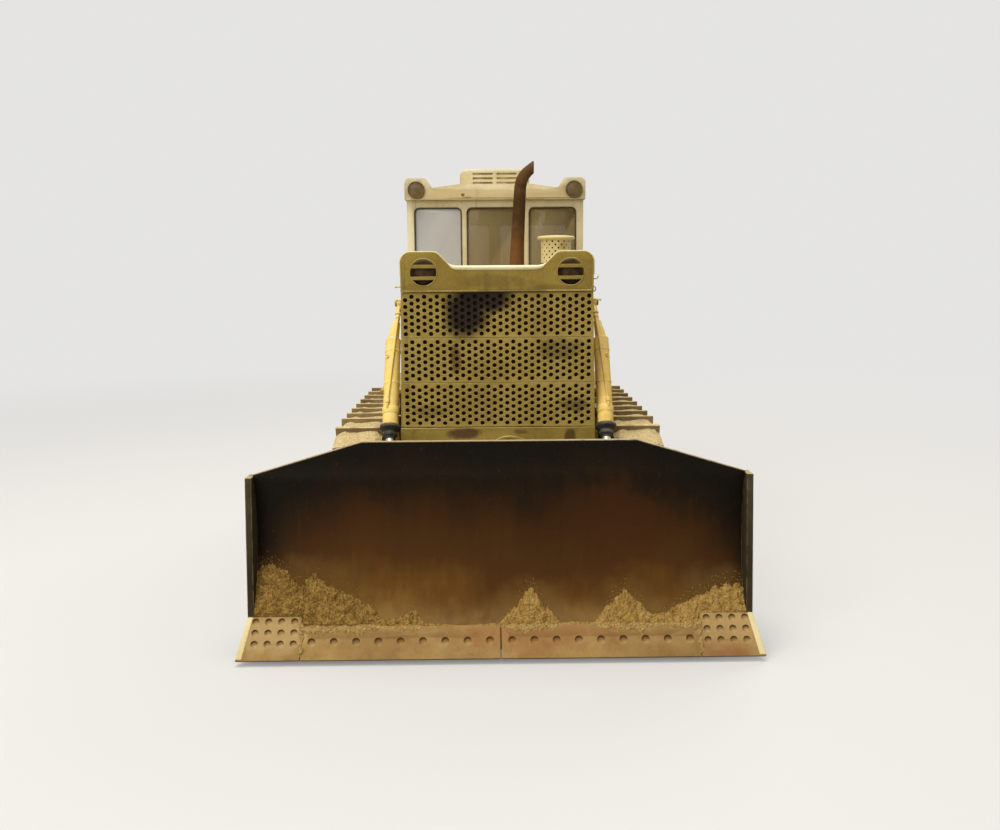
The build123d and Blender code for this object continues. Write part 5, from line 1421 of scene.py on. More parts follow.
@dataclass
class Undercarriage(Assembly):
    """Tracks of separate shoes on links, and the wheels and frames inside them."""

    pitch: float = 13.6
    count: int = 28
    teeth: int = 12
    idler: float = 76.0
    width: float = 17.4
    span: float = 121.0
    rise: float = 1.1
    drop: float = 2.2
    plate: float = 1.5
    gap: float = 0.7
    bar_height: float = 3.2
    bar: float = 1.5
    bar_offset: float = 1.6
    rail_spacing: float = 8.2
    rail_width: float = 2.2
    eye: float = 1.7
    bolts: tuple[float, float] = (0.4, 2.9)
    mud: float = 1.9
    mud_cells: int = 10

    @property
    def radius(self) -> float:
        """Radius of the pin line round the wheels."""
        return self.pitch / (2 * sin(pi / self.teeth))

    def pin(self, index: int) -> tuple[float, float]:
        """Where a track pin is on the loop.

        Args:
            index: The pin's number along the loop.

        Returns:
            Station and height in millimetres.
        """
        radius = self.radius
        base = (self.count * self.pitch - 2 * pi * radius) / 2
        axle = radius + self.rise + self.plate + self.bar_height
        run = (index % self.count) * self.pitch
        if run < base:
            return self.idler + run, axle - radius
        run -= base
        if run < pi * radius:
            turn = run / radius
            return self.idler + base + radius * sin(turn), axle - radius * cos(turn)
        run -= pi * radius
        if run < base:
            return self.idler + base - run, axle + radius
        turn = (run - base) / radius
        return self.idler - radius * sin(turn), axle + radius * cos(turn)

    def link(self) -> Object:
        """One shoe with its grouser, bolts and pair of link plates.

        Returns:
            The link, centred between its two pins, standing along +Z.
        """
        build = Builder()
        half = self.width / 2
        first = -self.pitch / 2 + self.gap / 2
        last = self.pitch / 2 - self.gap / 2
        top = self.rise + self.plate
        build.block(mm(-half, first, self.rise), mm(half, last, top))
        bar = first + self.bar_offset
        build.block(mm(-half, bar, top - 0.4), mm(half, bar + self.bar, top + self.bar_height))
        wall = self.rail_width / 2
        for sign in SIGNS:
            middle = sign * self.rail_spacing / 2
            build.block(
                mm(middle - wall, -self.pitch / 2 + 1.5, -self.drop),
                mm(middle + wall, self.pitch / 2 - 1.5, self.rise + 0.3),
            )
            for end in SIGNS:
                shift = 0.0 if end < 0 else 0.25 * sign
                eye = mm(middle - wall + shift, end * self.pitch / 2, -0.2)
                build.lathe(eye, ACROSS, [(0, self.eye), (2 * wall, self.eye)], 14)
            for along in self.bolts:
                build.lathe(mm(middle, along, top - 0.05), UP, [(0, 0.55), (0.42, 0.55), (0.55, 0.4)], 6)
        return new_object("track_link", build.mesh("track_link", 0.16, 1))

    def packed(self) -> Object:
        """The dried mud on one shoe, before and behind its grouser.

        Returns:
            The mud in the link's own place.
        """
        build = Builder()
        half = self.width / 2 - 0.25
        first = -self.pitch / 2 + self.gap / 2 + 0.15
        bar = first + self.bar_offset - 0.15
        last = self.pitch / 2 - self.gap / 2 - 0.2
        top = self.rise + self.plate
        for low, high, lengths in ((first, bar + 0.2, 2), (bar + self.bar - 0.2, last, 5)):
            rows = []
            for step in range(lengths + 1):
                along = low + (high - low) * step / lengths
                open_end = min(abs(along - first), abs(along - last))
                row = []
                for cell in range(self.mud_cells + 1):
                    x = -half + 2 * half * cell / self.mud_cells
                    rim = min(1.0, (half - abs(x)) / 1.2 + 0.15) * min(1.0, open_end / 1.1 + 0.25)
                    lump = 0.8 + 0.55 * noise.noise(Vector((x * 0.45, along * 0.45, 2.0)))
                    row.append(mm(x, along, top - 0.1 + self.mud * rim * lump))
                rows.append(build.ring(row + [mm(half, along, top - 0.2), mm(-half, along, top - 0.2)]))
            build.skin(rows)
        return new_object("packed_mud", build.mesh("packed_mud"))

    def tracks(self) -> None:
        """Lay both tracks round their wheels, with mud packed on the shoes."""
        link, slab = self.link(), self.packed()
        tool = ChainTool()
        for side in Side:
            x = side.value * (self.span - self.width) / 2
            pins = [at(x, *self.pin(index)) for index in range(self.count)]
            edges = [(i, (i + 1) % self.count) for i in range(self.count)]
            for piece, label, look, replaced in (
                (link, "track_chain_", self.finishes.track, ["track_" + side.label]),
                (slab, "packed_mud_", self.finishes.mud, []),
            ):
                host = bpy.data.meshes.new("track_path")
                host.from_pydata(pins, edges, [])
                name = label + side.label
                show(name, tool.run(name, {"Link": piece, "Material": look}, host), look, replaced)
        discard(link, slab)

    def build(self) -> None:
        """Build and dress the tracks and what is inside them."""
        self.tracks()
        wheels = (("idlers", 0.4), ("sprockets", 0.3), ("rollers", 0.25), ("final_drives", 0.8))
        coats(("dusty_" + node, node, width, self.finishes.running) for node, width in wheels)
        coats((("roller_frames", "track_frames", 0.35, self.finishes.hull),))


@dataclass
class LiftGear(Assembly):
    """The two lift cylinders with their collars, rods and oil pipes."""

    x: float = 39.0
    pivot: tuple[float, float] = (86.2, 108.3)
    pin: tuple[float, float] = (38.2, 27.4)
    barrel: float = 55.0
    gland: float = 5.2
    radius: float = 2.85
    neck: float = 14.0
    bore: float = 1.66
    wall: float = 33.7
    lean: float = 2.0
    pipe_bar: float = 0.45
    bands: tuple[float, float] = (20.0, 33.0)

    def point(self, side: Side, distance: float, lift: float = 0.0, aside: float = 0.0) -> Vector:
        """A point beside a cylinder's axis, measured down from its pivot.

        Args:
            side: Which cylinder.
            distance: Millimetres from the pivot.
            lift: Millimetres before and above the axis.
            aside: Millimetres outwards.

        Returns:
            The point in metres.
        """
        run, rise = self.pivot[0] - self.pin[0], self.pivot[1] - self.pin[1]
        length = hypot(run, rise)
        station = self.pivot[0] - (distance * run + lift * rise) / length
        height = self.pivot[1] - (distance * rise - lift * run) / length
        return at(side.value * (self.x + aside), station, height)

    def turn(self, build: Builder, side: Side, start: float, ahead: float, profile: Profile, loop: bool) -> None:
        """Turn a profile of distances and radii round a cylinder's axis, from one place to one further down."""
        root = self.point(side, start)
        build.lathe(root, self.point(side, ahead) - root, profile, 36, loop)

    def tube(self, side: Side) -> None:
        """Turn the barrel with its slim neck, shoulder, lower band and eye."""
        build = Builder()
        end, neck = self.barrel - self.gland, self.neck
        self.turn(build, side, 0.0, 1.0, [
            (neck + 0.9, 1.2), (neck + 1.1, 2.05), (neck + 1.3, 2.3), (neck + 1.5, 2.6), (neck + 1.8, self.radius),
            (end - 6.6, self.radius), (end - 6.5, 3.05), (end - 6.2, 3.15), (end - 4.3, 3.15), (end - 4.0, 3.05),
            (end - 3.9, 2.9), (end - 0.4, 2.9), (end, 2.75), (end, self.bore), (neck + 1.9, self.bore),
        ], loop=False)
        slim = ((0.4, 1.0, 0.95), (8.0, 0.55, 1.0), (8.4, 0.5, 1.4), (neck - 1.0, 0.15, 1.9), (neck + 1.4, 0.0, 2.05))
        line = [self.point(side, along, 0.0, -self.lean * lean) for along, lean, _ in slim]
        build.tube(line, [bar for *_, bar in slim], 28)
        eye = at(side.value * (self.x - self.lean - 1.1), *self.pivot)
        build.lathe(eye, ACROSS * side.value, [(0, 1.4), (0.2, 1.65), (2.0, 1.65), (2.2, 1.4)], 28)
        name = "barrel_coat_" + side.label
        build.show(name, self.finishes.yellow, ["barrel_" + side.label], side.body("cylinder"))

    def pipe(self, side: Side) -> None:
        """Lay the thin oil pipe with its fittings and bands along a barrel's front."""
        build = Builder()
        end, neck = self.barrel - self.gland - 5.4, self.neck
        path = [
            (3.0, 0.8, -2.0), (3.1, 1.7, -2.0), (3.6, 2.3, -2.0), (5.0, 2.6, -1.9), (neck, 3.1, -1.2),
            (neck + 4.0, 3.2, -0.9), (end - 1.2, 3.16, 1.0), (end - 0.4, 2.9, 1.05), (end, 2.5, 1.0),
        ]
        build.tube([self.point(side, *place) for place in path], self.pipe_bar)
        for along, length, ring, lift, aside in (
            (5.6, 0.7, 1.2, 2.62, -1.85), (6.3, 1.6, 0.8, 2.66, -1.8), (end - 3.6, 1.6, 0.75, 3.1, 0.86),
        ):
            base = self.point(side, along, lift, aside)
            way = self.point(side, along + 1.0, lift + 0.04, aside + 0.07) - base
            slim = ring - 0.12
            build.lathe(base, way, [(0, slim), (0.15, ring), (length - 0.15, ring), (length, slim)], 12)
        inner, outer = self.radius - 0.1, self.radius + 0.14
        for along in self.bands:
            band = [(0.0, inner), (0.1, outer), (1.1, outer), (1.2, inner)]
            self.turn(build, side, along, along + 1.0, band, loop=True)
        port = self.point(side, 23.5, 2.2, 1.3)
        way = self.point(side, 23.5, 3.2, 2.0) - port
        build.lathe(port, way, [(0, 0.7), (0.85, 0.7), (0.95, 0.55), (0.7, 0.4), (0.65, 0.05)], 14)
        build.show("oil_pipe_" + side.label, self.finishes.yellow, body=side.body("cylinder"))

    def collar(self, side: Side) -> None:
        """Turn the black sealing bell with its wide flange and narrow mouth."""
        build = Builder()
        self.turn(build, side, self.barrel - self.gland, self.barrel, [
            (0.02, self.bore), (0.02, 2.6), (0.2, 3.3), (0.5, 3.75), (1.0, 3.85), (1.4, 3.85), (1.8, 3.6), (2.1, 3.0),
            (2.4, 2.55), (2.8, 2.35), (3.2, 2.45), (3.5, 2.62), (4.1, 2.62), (4.5, 2.45), (4.8, 2.1),
            (self.gland, 2.0), (self.gland, self.bore),
        ], loop=True)
        name = "gland_bell_" + side.label
        build.show(name, self.finishes.rubber, ["gland_" + side.label], side.body("cylinder"))

    def brackets(self) -> None:
        """Turn the bosses and pins on the guard that carry the cylinders."""
        build = Builder()
        middle = self.x - self.lean - self.wall
        for sign in SIGNS:
            build.lathe(at(sign * self.wall, *self.pivot), ACROSS * sign, [
                (0, 2.5), (0.9, 2.4), (1.2, 1.9), (middle - 1.4, 1.7), (middle - 1.3, 1.1), (middle + 1.2, 1.1),
                (middle + 1.3, 1.3), (middle + 1.6, 1.3), (middle + 1.8, 1.0),
            ], 24)
        build.show("pivot_brackets", self.finishes.guard, ["lift_brackets"])

    def build(self) -> None:
        """Build and dress both cylinders."""
        for side in Side:
            self.tube(side)
            self.pipe(side)
            self.collar(side)
            rod = "rod_" + side.label
            coats((("polished_" + rod, rod, 0.2, self.finishes.rod),), side.body("ram"))
        self.brackets()


@dataclass
class Blade(Assembly):
    """The blade with its cutting edge, bolt recesses and crusts of soil."""

    rake: float = 30.0
    floor_gap: float = 1.2
    edge_length: float = 10.3
    edge_thickness: float = 1.4
    height: float = 66.9
    top_station: float = 9.0
    half_width: float = 77.4
    bit_inner: float = 62.4
    bit_length: float = 13.6
    bit_outer: float = 79.4
    bit_flare: float = 3.0
    seam: float = 0.15
    bolt_pitch: float = 6.94
    bolt_along: float = 5.57
    bolt_columns: int = 18
    bit_bolts: tuple[float, float] = (64.6, 5.1)
    bit_pitch: tuple[float, float] = (4.05, 3.43)
    bit_counts: tuple[int, int] = (4, 3)
    recess: float = 0.85
    seed: int = 7
    smallest_grain: float = 0.1
    crest: tuple[tuple[float, float], ...] = (
        (-78.0, 19.0), (-73.0, 20.4), (-68.5, 18.4), (-63.5, 13.4), (-59.6, 17.0), (-53.0, 12.6), (-47.8, 10.6),
        (-42.5, 7.6), (-37.3, 2.8), (-34.0, 2.2), (-28.0, 5.4), (-23.6, 1.0), (-12.0, 0.3), (-1.0, 0.9), (4.8, 6.2),
        (8.4, 10.4), (9.8, 13.0), (11.2, 10.0), (14.2, 5.4), (19.5, 1.0), (29.0, 0.9), (34.2, 6.4), (38.0, 9.6),
        (39.5, 11.6), (41.2, 9.4), (43.7, 7.4), (47.9, 3.2), (52.1, 3.8), (58.4, 7.4), (63.7, 9.6), (70.0, 12.2),
        (75.2, 12.8), (78.0, 12.0),
    )

    def edge_point(self, along: float, depth: float) -> tuple[float, float]:
        """Station and height on the cutting edge's slope."""
        s, c = sin(radians(self.rake)), cos(radians(self.rake))
        base = self.floor_gap + self.edge_thickness * s
        return along * s + depth * c, base + along * c - depth * s

    def board_point(self, rise: float, out: float) -> tuple[float, float]:
        """A point before the moldboard's face.

        Args:
            rise: Millimetres along the face above the cutting edge's upper rim.
            out: Millimetres before the face.

        Returns:
            Station and height in millimetres.
        """
        start = self.edge_point(self.edge_length, self.edge_thickness)
        top = (self.top_station, self.floor_gap + self.edge_thickness * sin(radians(self.rake)) + self.height)
        chord = hypot(top[0] - start[0], top[1] - start[1])
        half_turn = radians(self.rake) - asin((top[0] - start[0]) / chord)
        radius = chord / (2 * sin(half_turn))
        centre = (start[0] - radius * cos(radians(self.rake)), start[1] + radius * sin(radians(self.rake)))
        turn = -radians(self.rake) + rise / radius
        return centre[0] + (radius - out) * cos(turn), centre[1] + (radius - out) * sin(turn)

    def crust_height(self, x: float) -> float:
        """Height of the soil at a place along the blade, with a ragged rim."""
        height = 0.0
        for (x0, z0), (x1, z1) in zip(self.crest, self.crest[1:]):
            if x0 <= x <= x1:
                height = ease(z0, z1, (x - x0) / (x1 - x0))
        ragged = wave(x * 0.55, 3.1) * 1.3 + wave(x * 1.9, 7.7) * 0.9
        return max(0.3, height + ragged * min(1.0, height / 4.0))

    def crust_foot(self, x: float) -> float:
        """Where the soil begins: above the cutting edge, and higher above the end bits."""
        share = min(1.0, max(0.0, (abs(x) - self.bit_inner + 1.0) / 1.4))
        return ease(0.0, self.bit_length - self.edge_length + 0.1, share)

    def bank(self) -> Mesh:
        """Lay the crust of soil against the foot of the moldboard.

        Returns:
            The closed mesh.
        """
        build = Builder()
        rows = []
        steps, layers = 420, 16
        limit = self.half_width - 0.15
        for step in range(steps + 1):
            x = -limit + 2 * limit * step / steps
            start = self.crust_foot(x)
            height = max(0.3, self.crust_height(x) - start)
            depth = min(2.4, 0.65 + 0.15 * height)
            foot = self.board_point(start, -0.3)
            row = [at(x, foot[0], foot[1] - 0.2)]
            for layer in range(layers + 1):
                share = layer / layers
                lump = wave(x * 0.7, share * height * 0.7, 1.7) * 0.9
                lump += wave(x * 2.1, share * height * 2.1, 5.0) * 0.45
                out = depth * (1.0 - share ** 1.6) * 0.8 + 0.18 + lump * min(1.0, height / 5.0)
                out = min(out, 1.3) if layer == 0 else max(0.1, out)
                if layer == layers:
                    out = -0.25
                row.append(at(x, *self.board_point(start + height * share, out)))
            rows.append(build.ring(row))
        for first, second in zip(rows, rows[1:]):
            for lower in range(layers + 1):
                build.work.faces.new((first[lower], second[lower], second[lower + 1], first[lower + 1]))
            build.work.faces.new((first[-1], second[-1], second[0], first[0]))
        build.work.faces.new(rows[0])
        build.work.faces.new(list(reversed(rows[-1])))
        bmesh.ops.recalc_face_normals(build.work, faces=build.work.faces)
        return baked(build.work, "soil_bank")

    def fringe(self) -> Mesh:
        """A strip of the moldboard's face above the crust, for loose grains.

        Returns:
            The open mesh.
        """
        build = Builder()
        rows = []
        limit = self.half_width - 0.6
        for step in range(201):
            x = -limit + 2 * limit * step / 200
            height = max(self.crust_height(x), self.crust_foot(x) + 0.3)
            reach = min(3.6, 0.4 * height)
            rows.append(build.ring(at(x, *self.board_point(height + reach * part, 0.02)) for part in (-0.6, 0.2, 1.0)))
        for first, second in zip(rows, rows[1:]):
            for lower in range(2):
                build.work.faces.new((first[lower], second[lower], second[lower + 1], first[lower + 1]))
        return baked(build.work, "soil_fringe")

    def spill(self) -> Mesh:
        """Thin crusts on the wear plates, where soil ran over their upper rim and into their seams.

        Returns:
            The closed mesh.
        """
        build = Builder()
        rings = []
        for step in range(301):
            x = (step / 150 - 1) * (self.bit_inner - 0.2)
            heap = min(1.0, max(0.0, self.crust_height(x) - 1.0) / 7.0)
            run = 0.5 + 0.5 * wave(x * 0.33, 9.0) + 0.25 * wave(x * 1.4, 2.0)
            reach = 0.3 + heap * (0.4 + 4.2 * max(0.0, run) ** 2)
            thick = 0.62 * heap * (0.7 + 0.5 * wave(x * 1.1, 4.0)) - 0.06
            top = self.edge_length - 0.1 + 1.15 * heap
            low = self.edge_length - 0.3
            section = (
                (top, 1.25), (top, 0.45), (top - 0.5 * heap, -thick * 0.55), (low + 0.1, -thick),
                (low - reach * 0.4, -thick), (low - reach * 0.8, -thick * 0.6), (low - 0.1 - reach, 0.12),
                (low - 0.2 - reach * 0.5, 0.4), (low - 0.4, 0.9),
            )
            rings.append(build.ring(at(x, *self.edge_point(*place)) for place in section))
        build.skin(rings)
        for sign in SIGNS:
            rings = []
            for step in range(61):
                share = step / 60
                along = 1.2 + 10.4 * share
                wide = 0.75 + 0.55 * wave(along * 0.8, sign * 4.0, 1.0)
                lump = 0.28 * wave(along * 1.3, sign * 3.0, 8.0)
                thick = (0.42 + lump) * min(1.0, 8.0 * share) - 0.05
                middle = sign * (self.bit_inner - 0.1 + 0.4 * wave(along * 0.5, sign * 2.0, 6.0))
                crown = -thick * 0.8
                section = ((-1.0, 0.12), (-0.6, crown), (0.0, -thick), (0.6, crown), (1.0, 0.12), (0.0, 0.6))
                rings.append(build.ring(at(middle + wide * x, *self.edge_point(along, deep)) for x, deep in section))
            build.skin(rings)
        return build.mesh("soil_spill")

    def soil(self) -> None:
        """Bank soil against the foot of the moldboard, spill some and scatter grains on it."""
        grain = bmesh.new()
        bmesh.ops.create_icosphere(grain, subdivisions=1, radius=MM)
        for vert in grain.verts:
            vert.co *= 0.75 + 0.5 * noise.noise(vert.co * 3000.0)
        piece = new_object("soil_grain", baked(grain, "soil_grain"))
        tool = GrainTool()
        for name, host, density, largest, keep, coat in (
            ("soil_crust", self.bank(), 1.0e6, 0.36, True, self.finishes.soil),
            ("loose_grains", self.fringe(), 1.0e6, 0.22, False, self.finishes.soil),
            ("spilt_soil", self.spill(), 2.4e6, 0.3, True, self.finishes.spilt),
        ):
            mesh = tool.run(name, {
                "Grain": piece, "Density": density, "Smallest": self.smallest_grain, "Largest": largest,
                "Seed": self.seed, "Keep ground": keep, "Material": coat,
            }, host)
            show(name, mesh, coat, body=Body.BLADE)
        discard(piece)

    def slope(self) -> Matrix:
        """The turn from X, depth and along to the cutting edge's place."""
        s, c = sin(radians(self.rake)), cos(radians(self.rake))
        turn = Matrix(((1, 0, 0), (0, c, s), (0, -s, c))).to_4x4()
        return Matrix.Translation(at(0, *self.edge_point(0.0, 0.0))) @ turn

    def plates(self, name: str, outlines: Iterable[Profile], front: float, back: float) -> Mesh:
        """Cut wear plates to outlines of X and distance along the slope.

        Args:
            name: Name of the mesh.
            outlines: Corners of each plate in millimetres.
            front: Depth of the front.
            back: Depth of the back.

        Returns:
            The plates with rounded edges.
        """
        build = Builder()
        for outline in outlines:
            build.skin([
                build.ring(at(x, *self.edge_point(along, depth)) for x, along in outline) for depth in (front, back)
            ])
        return build.mesh(name, 0.24, 3)

    def recesses(self, wide: float, bits: bool) -> Mesh:
        """Repeat a bolt's recess along the edge or over the end bits.

        Args:
            wide: Radius of a recess in millimetres.
            bits: Whether the bolts are the end bits' own.

        Returns:
            The mesh in place.
        """
        piece = turned("bolt_recess", BACK, [
            (-0.4, wide * 1.12), (0.0, wide * 1.06), (0.15, wide), (self.recess * 0.6, wide * 0.86),
            (self.recess * 0.88, wide * 0.62), (self.recess, wide * 0.34),
        ], 16)
        if bits:
            across, along = self.bit_bolts
            starts, counts, pitch = (across, -across - 3 * self.bit_pitch[0]), self.bit_counts, self.bit_pitch
        else:
            along = self.bolt_along
            starts = (-(self.bolt_columns - 1) * self.bolt_pitch / 2,)
            counts, pitch = (self.bolt_columns, 1), (self.bolt_pitch, 1.0)
        tool = GridTool()
        work = bmesh.new()
        for x in starts:
            work.from_mesh(tool.repeat(piece, counts, pitch, mm(x, 0.0, along), self.finishes.edge))
        discard(piece)
        mesh = baked(work, "bolt_recesses")
        mesh.transform(self.slope())
        return mesh

    def wear_parts(self) -> None:
        """Make the cutting edge and the end bits with their bolt recesses, and pale outer strips that are partly worn
        paint and partly a painted highlight.
        """
        inner, outer, low = self.bit_inner, self.bit_outer, self.bit_outer + self.bit_flare
        length, top = self.edge_length, self.bit_length
        edges, bits, strips = [], [], []
        for sign in SIGNS:
            gap = self.seam * sign
            edges.append([(gap, 0.0), (sign * inner - gap, 0.0), (sign * inner - gap, length), (gap, length)])
            bits.append([(sign * inner, 0.0), (sign * low, 0.0), (sign * outer, top), (sign * inner, top)])
            strips.append([
                (sign * (low - 2.1), 0.5), (sign * (low - 0.15), 0.5), (sign * (outer - 0.05), top - 0.1),
                (sign * (outer - 1.7), top - 0.1),
            ])
        for name, node, outlines, wide in (
            ("worn_edge", "cutting_edge", edges, 1.25), ("worn_end_bits", "end_bits", bits, 1.12),
        ):
            plates = self.plates(name, outlines, 0.0, self.edge_thickness)
            mesh = cut(plates, self.recesses(wide, outlines is bits))
            show(name, mesh, self.finishes.edge, [node], Body.BLADE)
        # Pale strips on the end bits' outer edges: partly worn paint, partly a painted highlight.
        show("bit_rims", self.plates("bit_rims", strips, -0.2, 0.6), self.finishes.bowl, body=Body.BLADE)

    def build(self) -> None:
        """Build and dress the blade."""
        looks = self.finishes
        coats((
            ("worn_moldboard", "moldboard", 0.3, looks.steel), ("worn_end_plates", "end_plates", 0.25, looks.plate),
            ("back_beams", "blade_back", 0.3, looks.arm), ("arm_beams", "push_arms", 0.5, looks.arm),
            ("brace_struts", "tilt_braces", 0.25, looks.arm),
        ), Body.BLADE)
        self.wear_parts()
        self.soil()


@dataclass
class Hood(Assembly):
    """The hood with its exhaust stack and pre-cleaner."""

    cleaner: tuple[float, float] = (23.3, 97.0)
    top: float = 121.0
    bowl: float = 5.8
    hole: float = 0.38
    hole_rows: int = 7
    hole_count: int = 15
    hole_top: float = 10.4
    hole_pitch: float = 1.24
    stack_foot: tuple[float, float] = (8.0, 105.0)
    mouth: float = 7.05
    shade_lining_x: tuple[float, float] = (29.8, 30.5)
    shade_lining_stations: tuple[float, float] = (94.0, 138.0)
    shade_lining_heights: tuple[float, float] = (62.0, 101.0)

    def holes(self, profile: Profile, finish: Material) -> Mesh:
        """Repeat a turned form at every hole of the pre-cleaner's bowl.

        Args:
            profile: Distances outwards from the bowl's wall and radii, in millimetres.
            finish: A finish for the mesh.

        Returns:
            The mesh in place.
        """
        piece = turned("hole_form", ACROSS, profile, 10)
        tool = RingTool()
        work = bmesh.new()
        for row in range(self.hole_rows):
            height = self.hole_top - self.hole_pitch * row
            start = pi / self.hole_count * ((row + 1) % 2)
            work.from_mesh(tool.repeat(piece, self.hole_count, self.bowl, finish, height, start))
        discard(piece)
        mesh = baked(work, "hole_field")
        mesh.transform(Matrix.Translation(at(*self.cleaner, self.top)))
        return mesh

    def pre_cleaner(self) -> None:
        """Turn the pre-cleaner, pierce its bowl with small holes and set dark discs just inside them as painted shade.
        """
        finish, dark, hole, wall = self.finishes.bowl, self.finishes.core, self.hole, self.bowl
        build = Builder()
        build.lathe(at(*self.cleaner, self.top), UP, [
            (0, 3.2), (1.7, 3.2), (2.0, 4.0), (2.1, wall - 0.3), (2.4, wall), (10.8, wall), (10.95, 5.95),
            (11.05, 6.4), (11.15, 6.85), (11.35, 7.15), (11.65, 7.3), (12.0, 7.3), (12.25, 7.12), (12.42, 6.7),
            (12.52, 6.0), (12.66, 4.4), (12.76, 2.4), (12.8, 0.4),
        ], 44)
        mesh = cut(build.mesh("cleaner_bowl"), self.holes([(-0.5, hole), (0.6, hole)], finish))
        show("cleaner_bowl", mesh, finish, ["pre_cleaner"])
        # Painted shade: dark discs just inside the holes.
        hole_shade = self.holes([(-0.8, hole * 1.1), (-0.34, hole * 1.1), (-0.3, hole * 0.6)], dark)
        show("cleaner_dark", hole_shade, dark)

    def stack(self) -> None:
        """Bend the tapered, rusted exhaust stack, cut upright at its mouth."""
        x, station = self.stack_foot
        path = [
            (0.0, 120.8, 2.85), (0.5, 130.0, 2.7), (1.0, 140.0, 2.55), (1.5, 149.0, 2.42), (1.75, 153.0, 2.38),
            (2.3, 155.4, 2.34), (3.3, 157.3, 2.26), (4.6, 158.7, 2.14), (7.9, 161.4, 1.92),
        ]
        inside = [(2.6, 156.4, 1.5), (3.4, 157.4, 1.65), (4.6, 158.7, 1.62), (8.9, 162.2, 1.5)]
        pipe, trim, bore = Builder(), Builder(), Builder()
        for build, line, steps in ((pipe, path, 28), (bore, inside, 24)):
            build.tube([at(x + dx, station, z) for dx, z, _ in line], [bar for *_, bar in line], steps)
        mouth = x + self.mouth
        trim.block(at(mouth, station - 8, 150.0), at(mouth + 8, station + 8, 172.0))
        mesh = cut(cut(pipe.mesh("rusted_stack"), trim.mesh("mouth_trim")), bore.mesh("mouth_bore"))
        show("rusted_stack", mesh, self.finishes.stack, ["exhaust_stack"])

    def build(self) -> None:
        """Build and dress the hood."""
        self.pre_cleaner()
        self.stack()
        finish = self.finishes.guard
        coats((("hood_sheet", "hood", 0.3, finish), ("louvred_sides", "hood_sides", 0.25, finish)))
        # Painted shade: dark slabs inside the louvred sides.
        shade_lining = Builder()
        for sign in SIGNS:
            span = sorted(sign * x for x in self.shade_lining_x)
            shade_lining.block(*(at(*corner) for corner in zip(span, self.shade_lining_stations, self.shade_lining_heights)))
        shade_lining.show("louvre_lining", self.finishes.core)


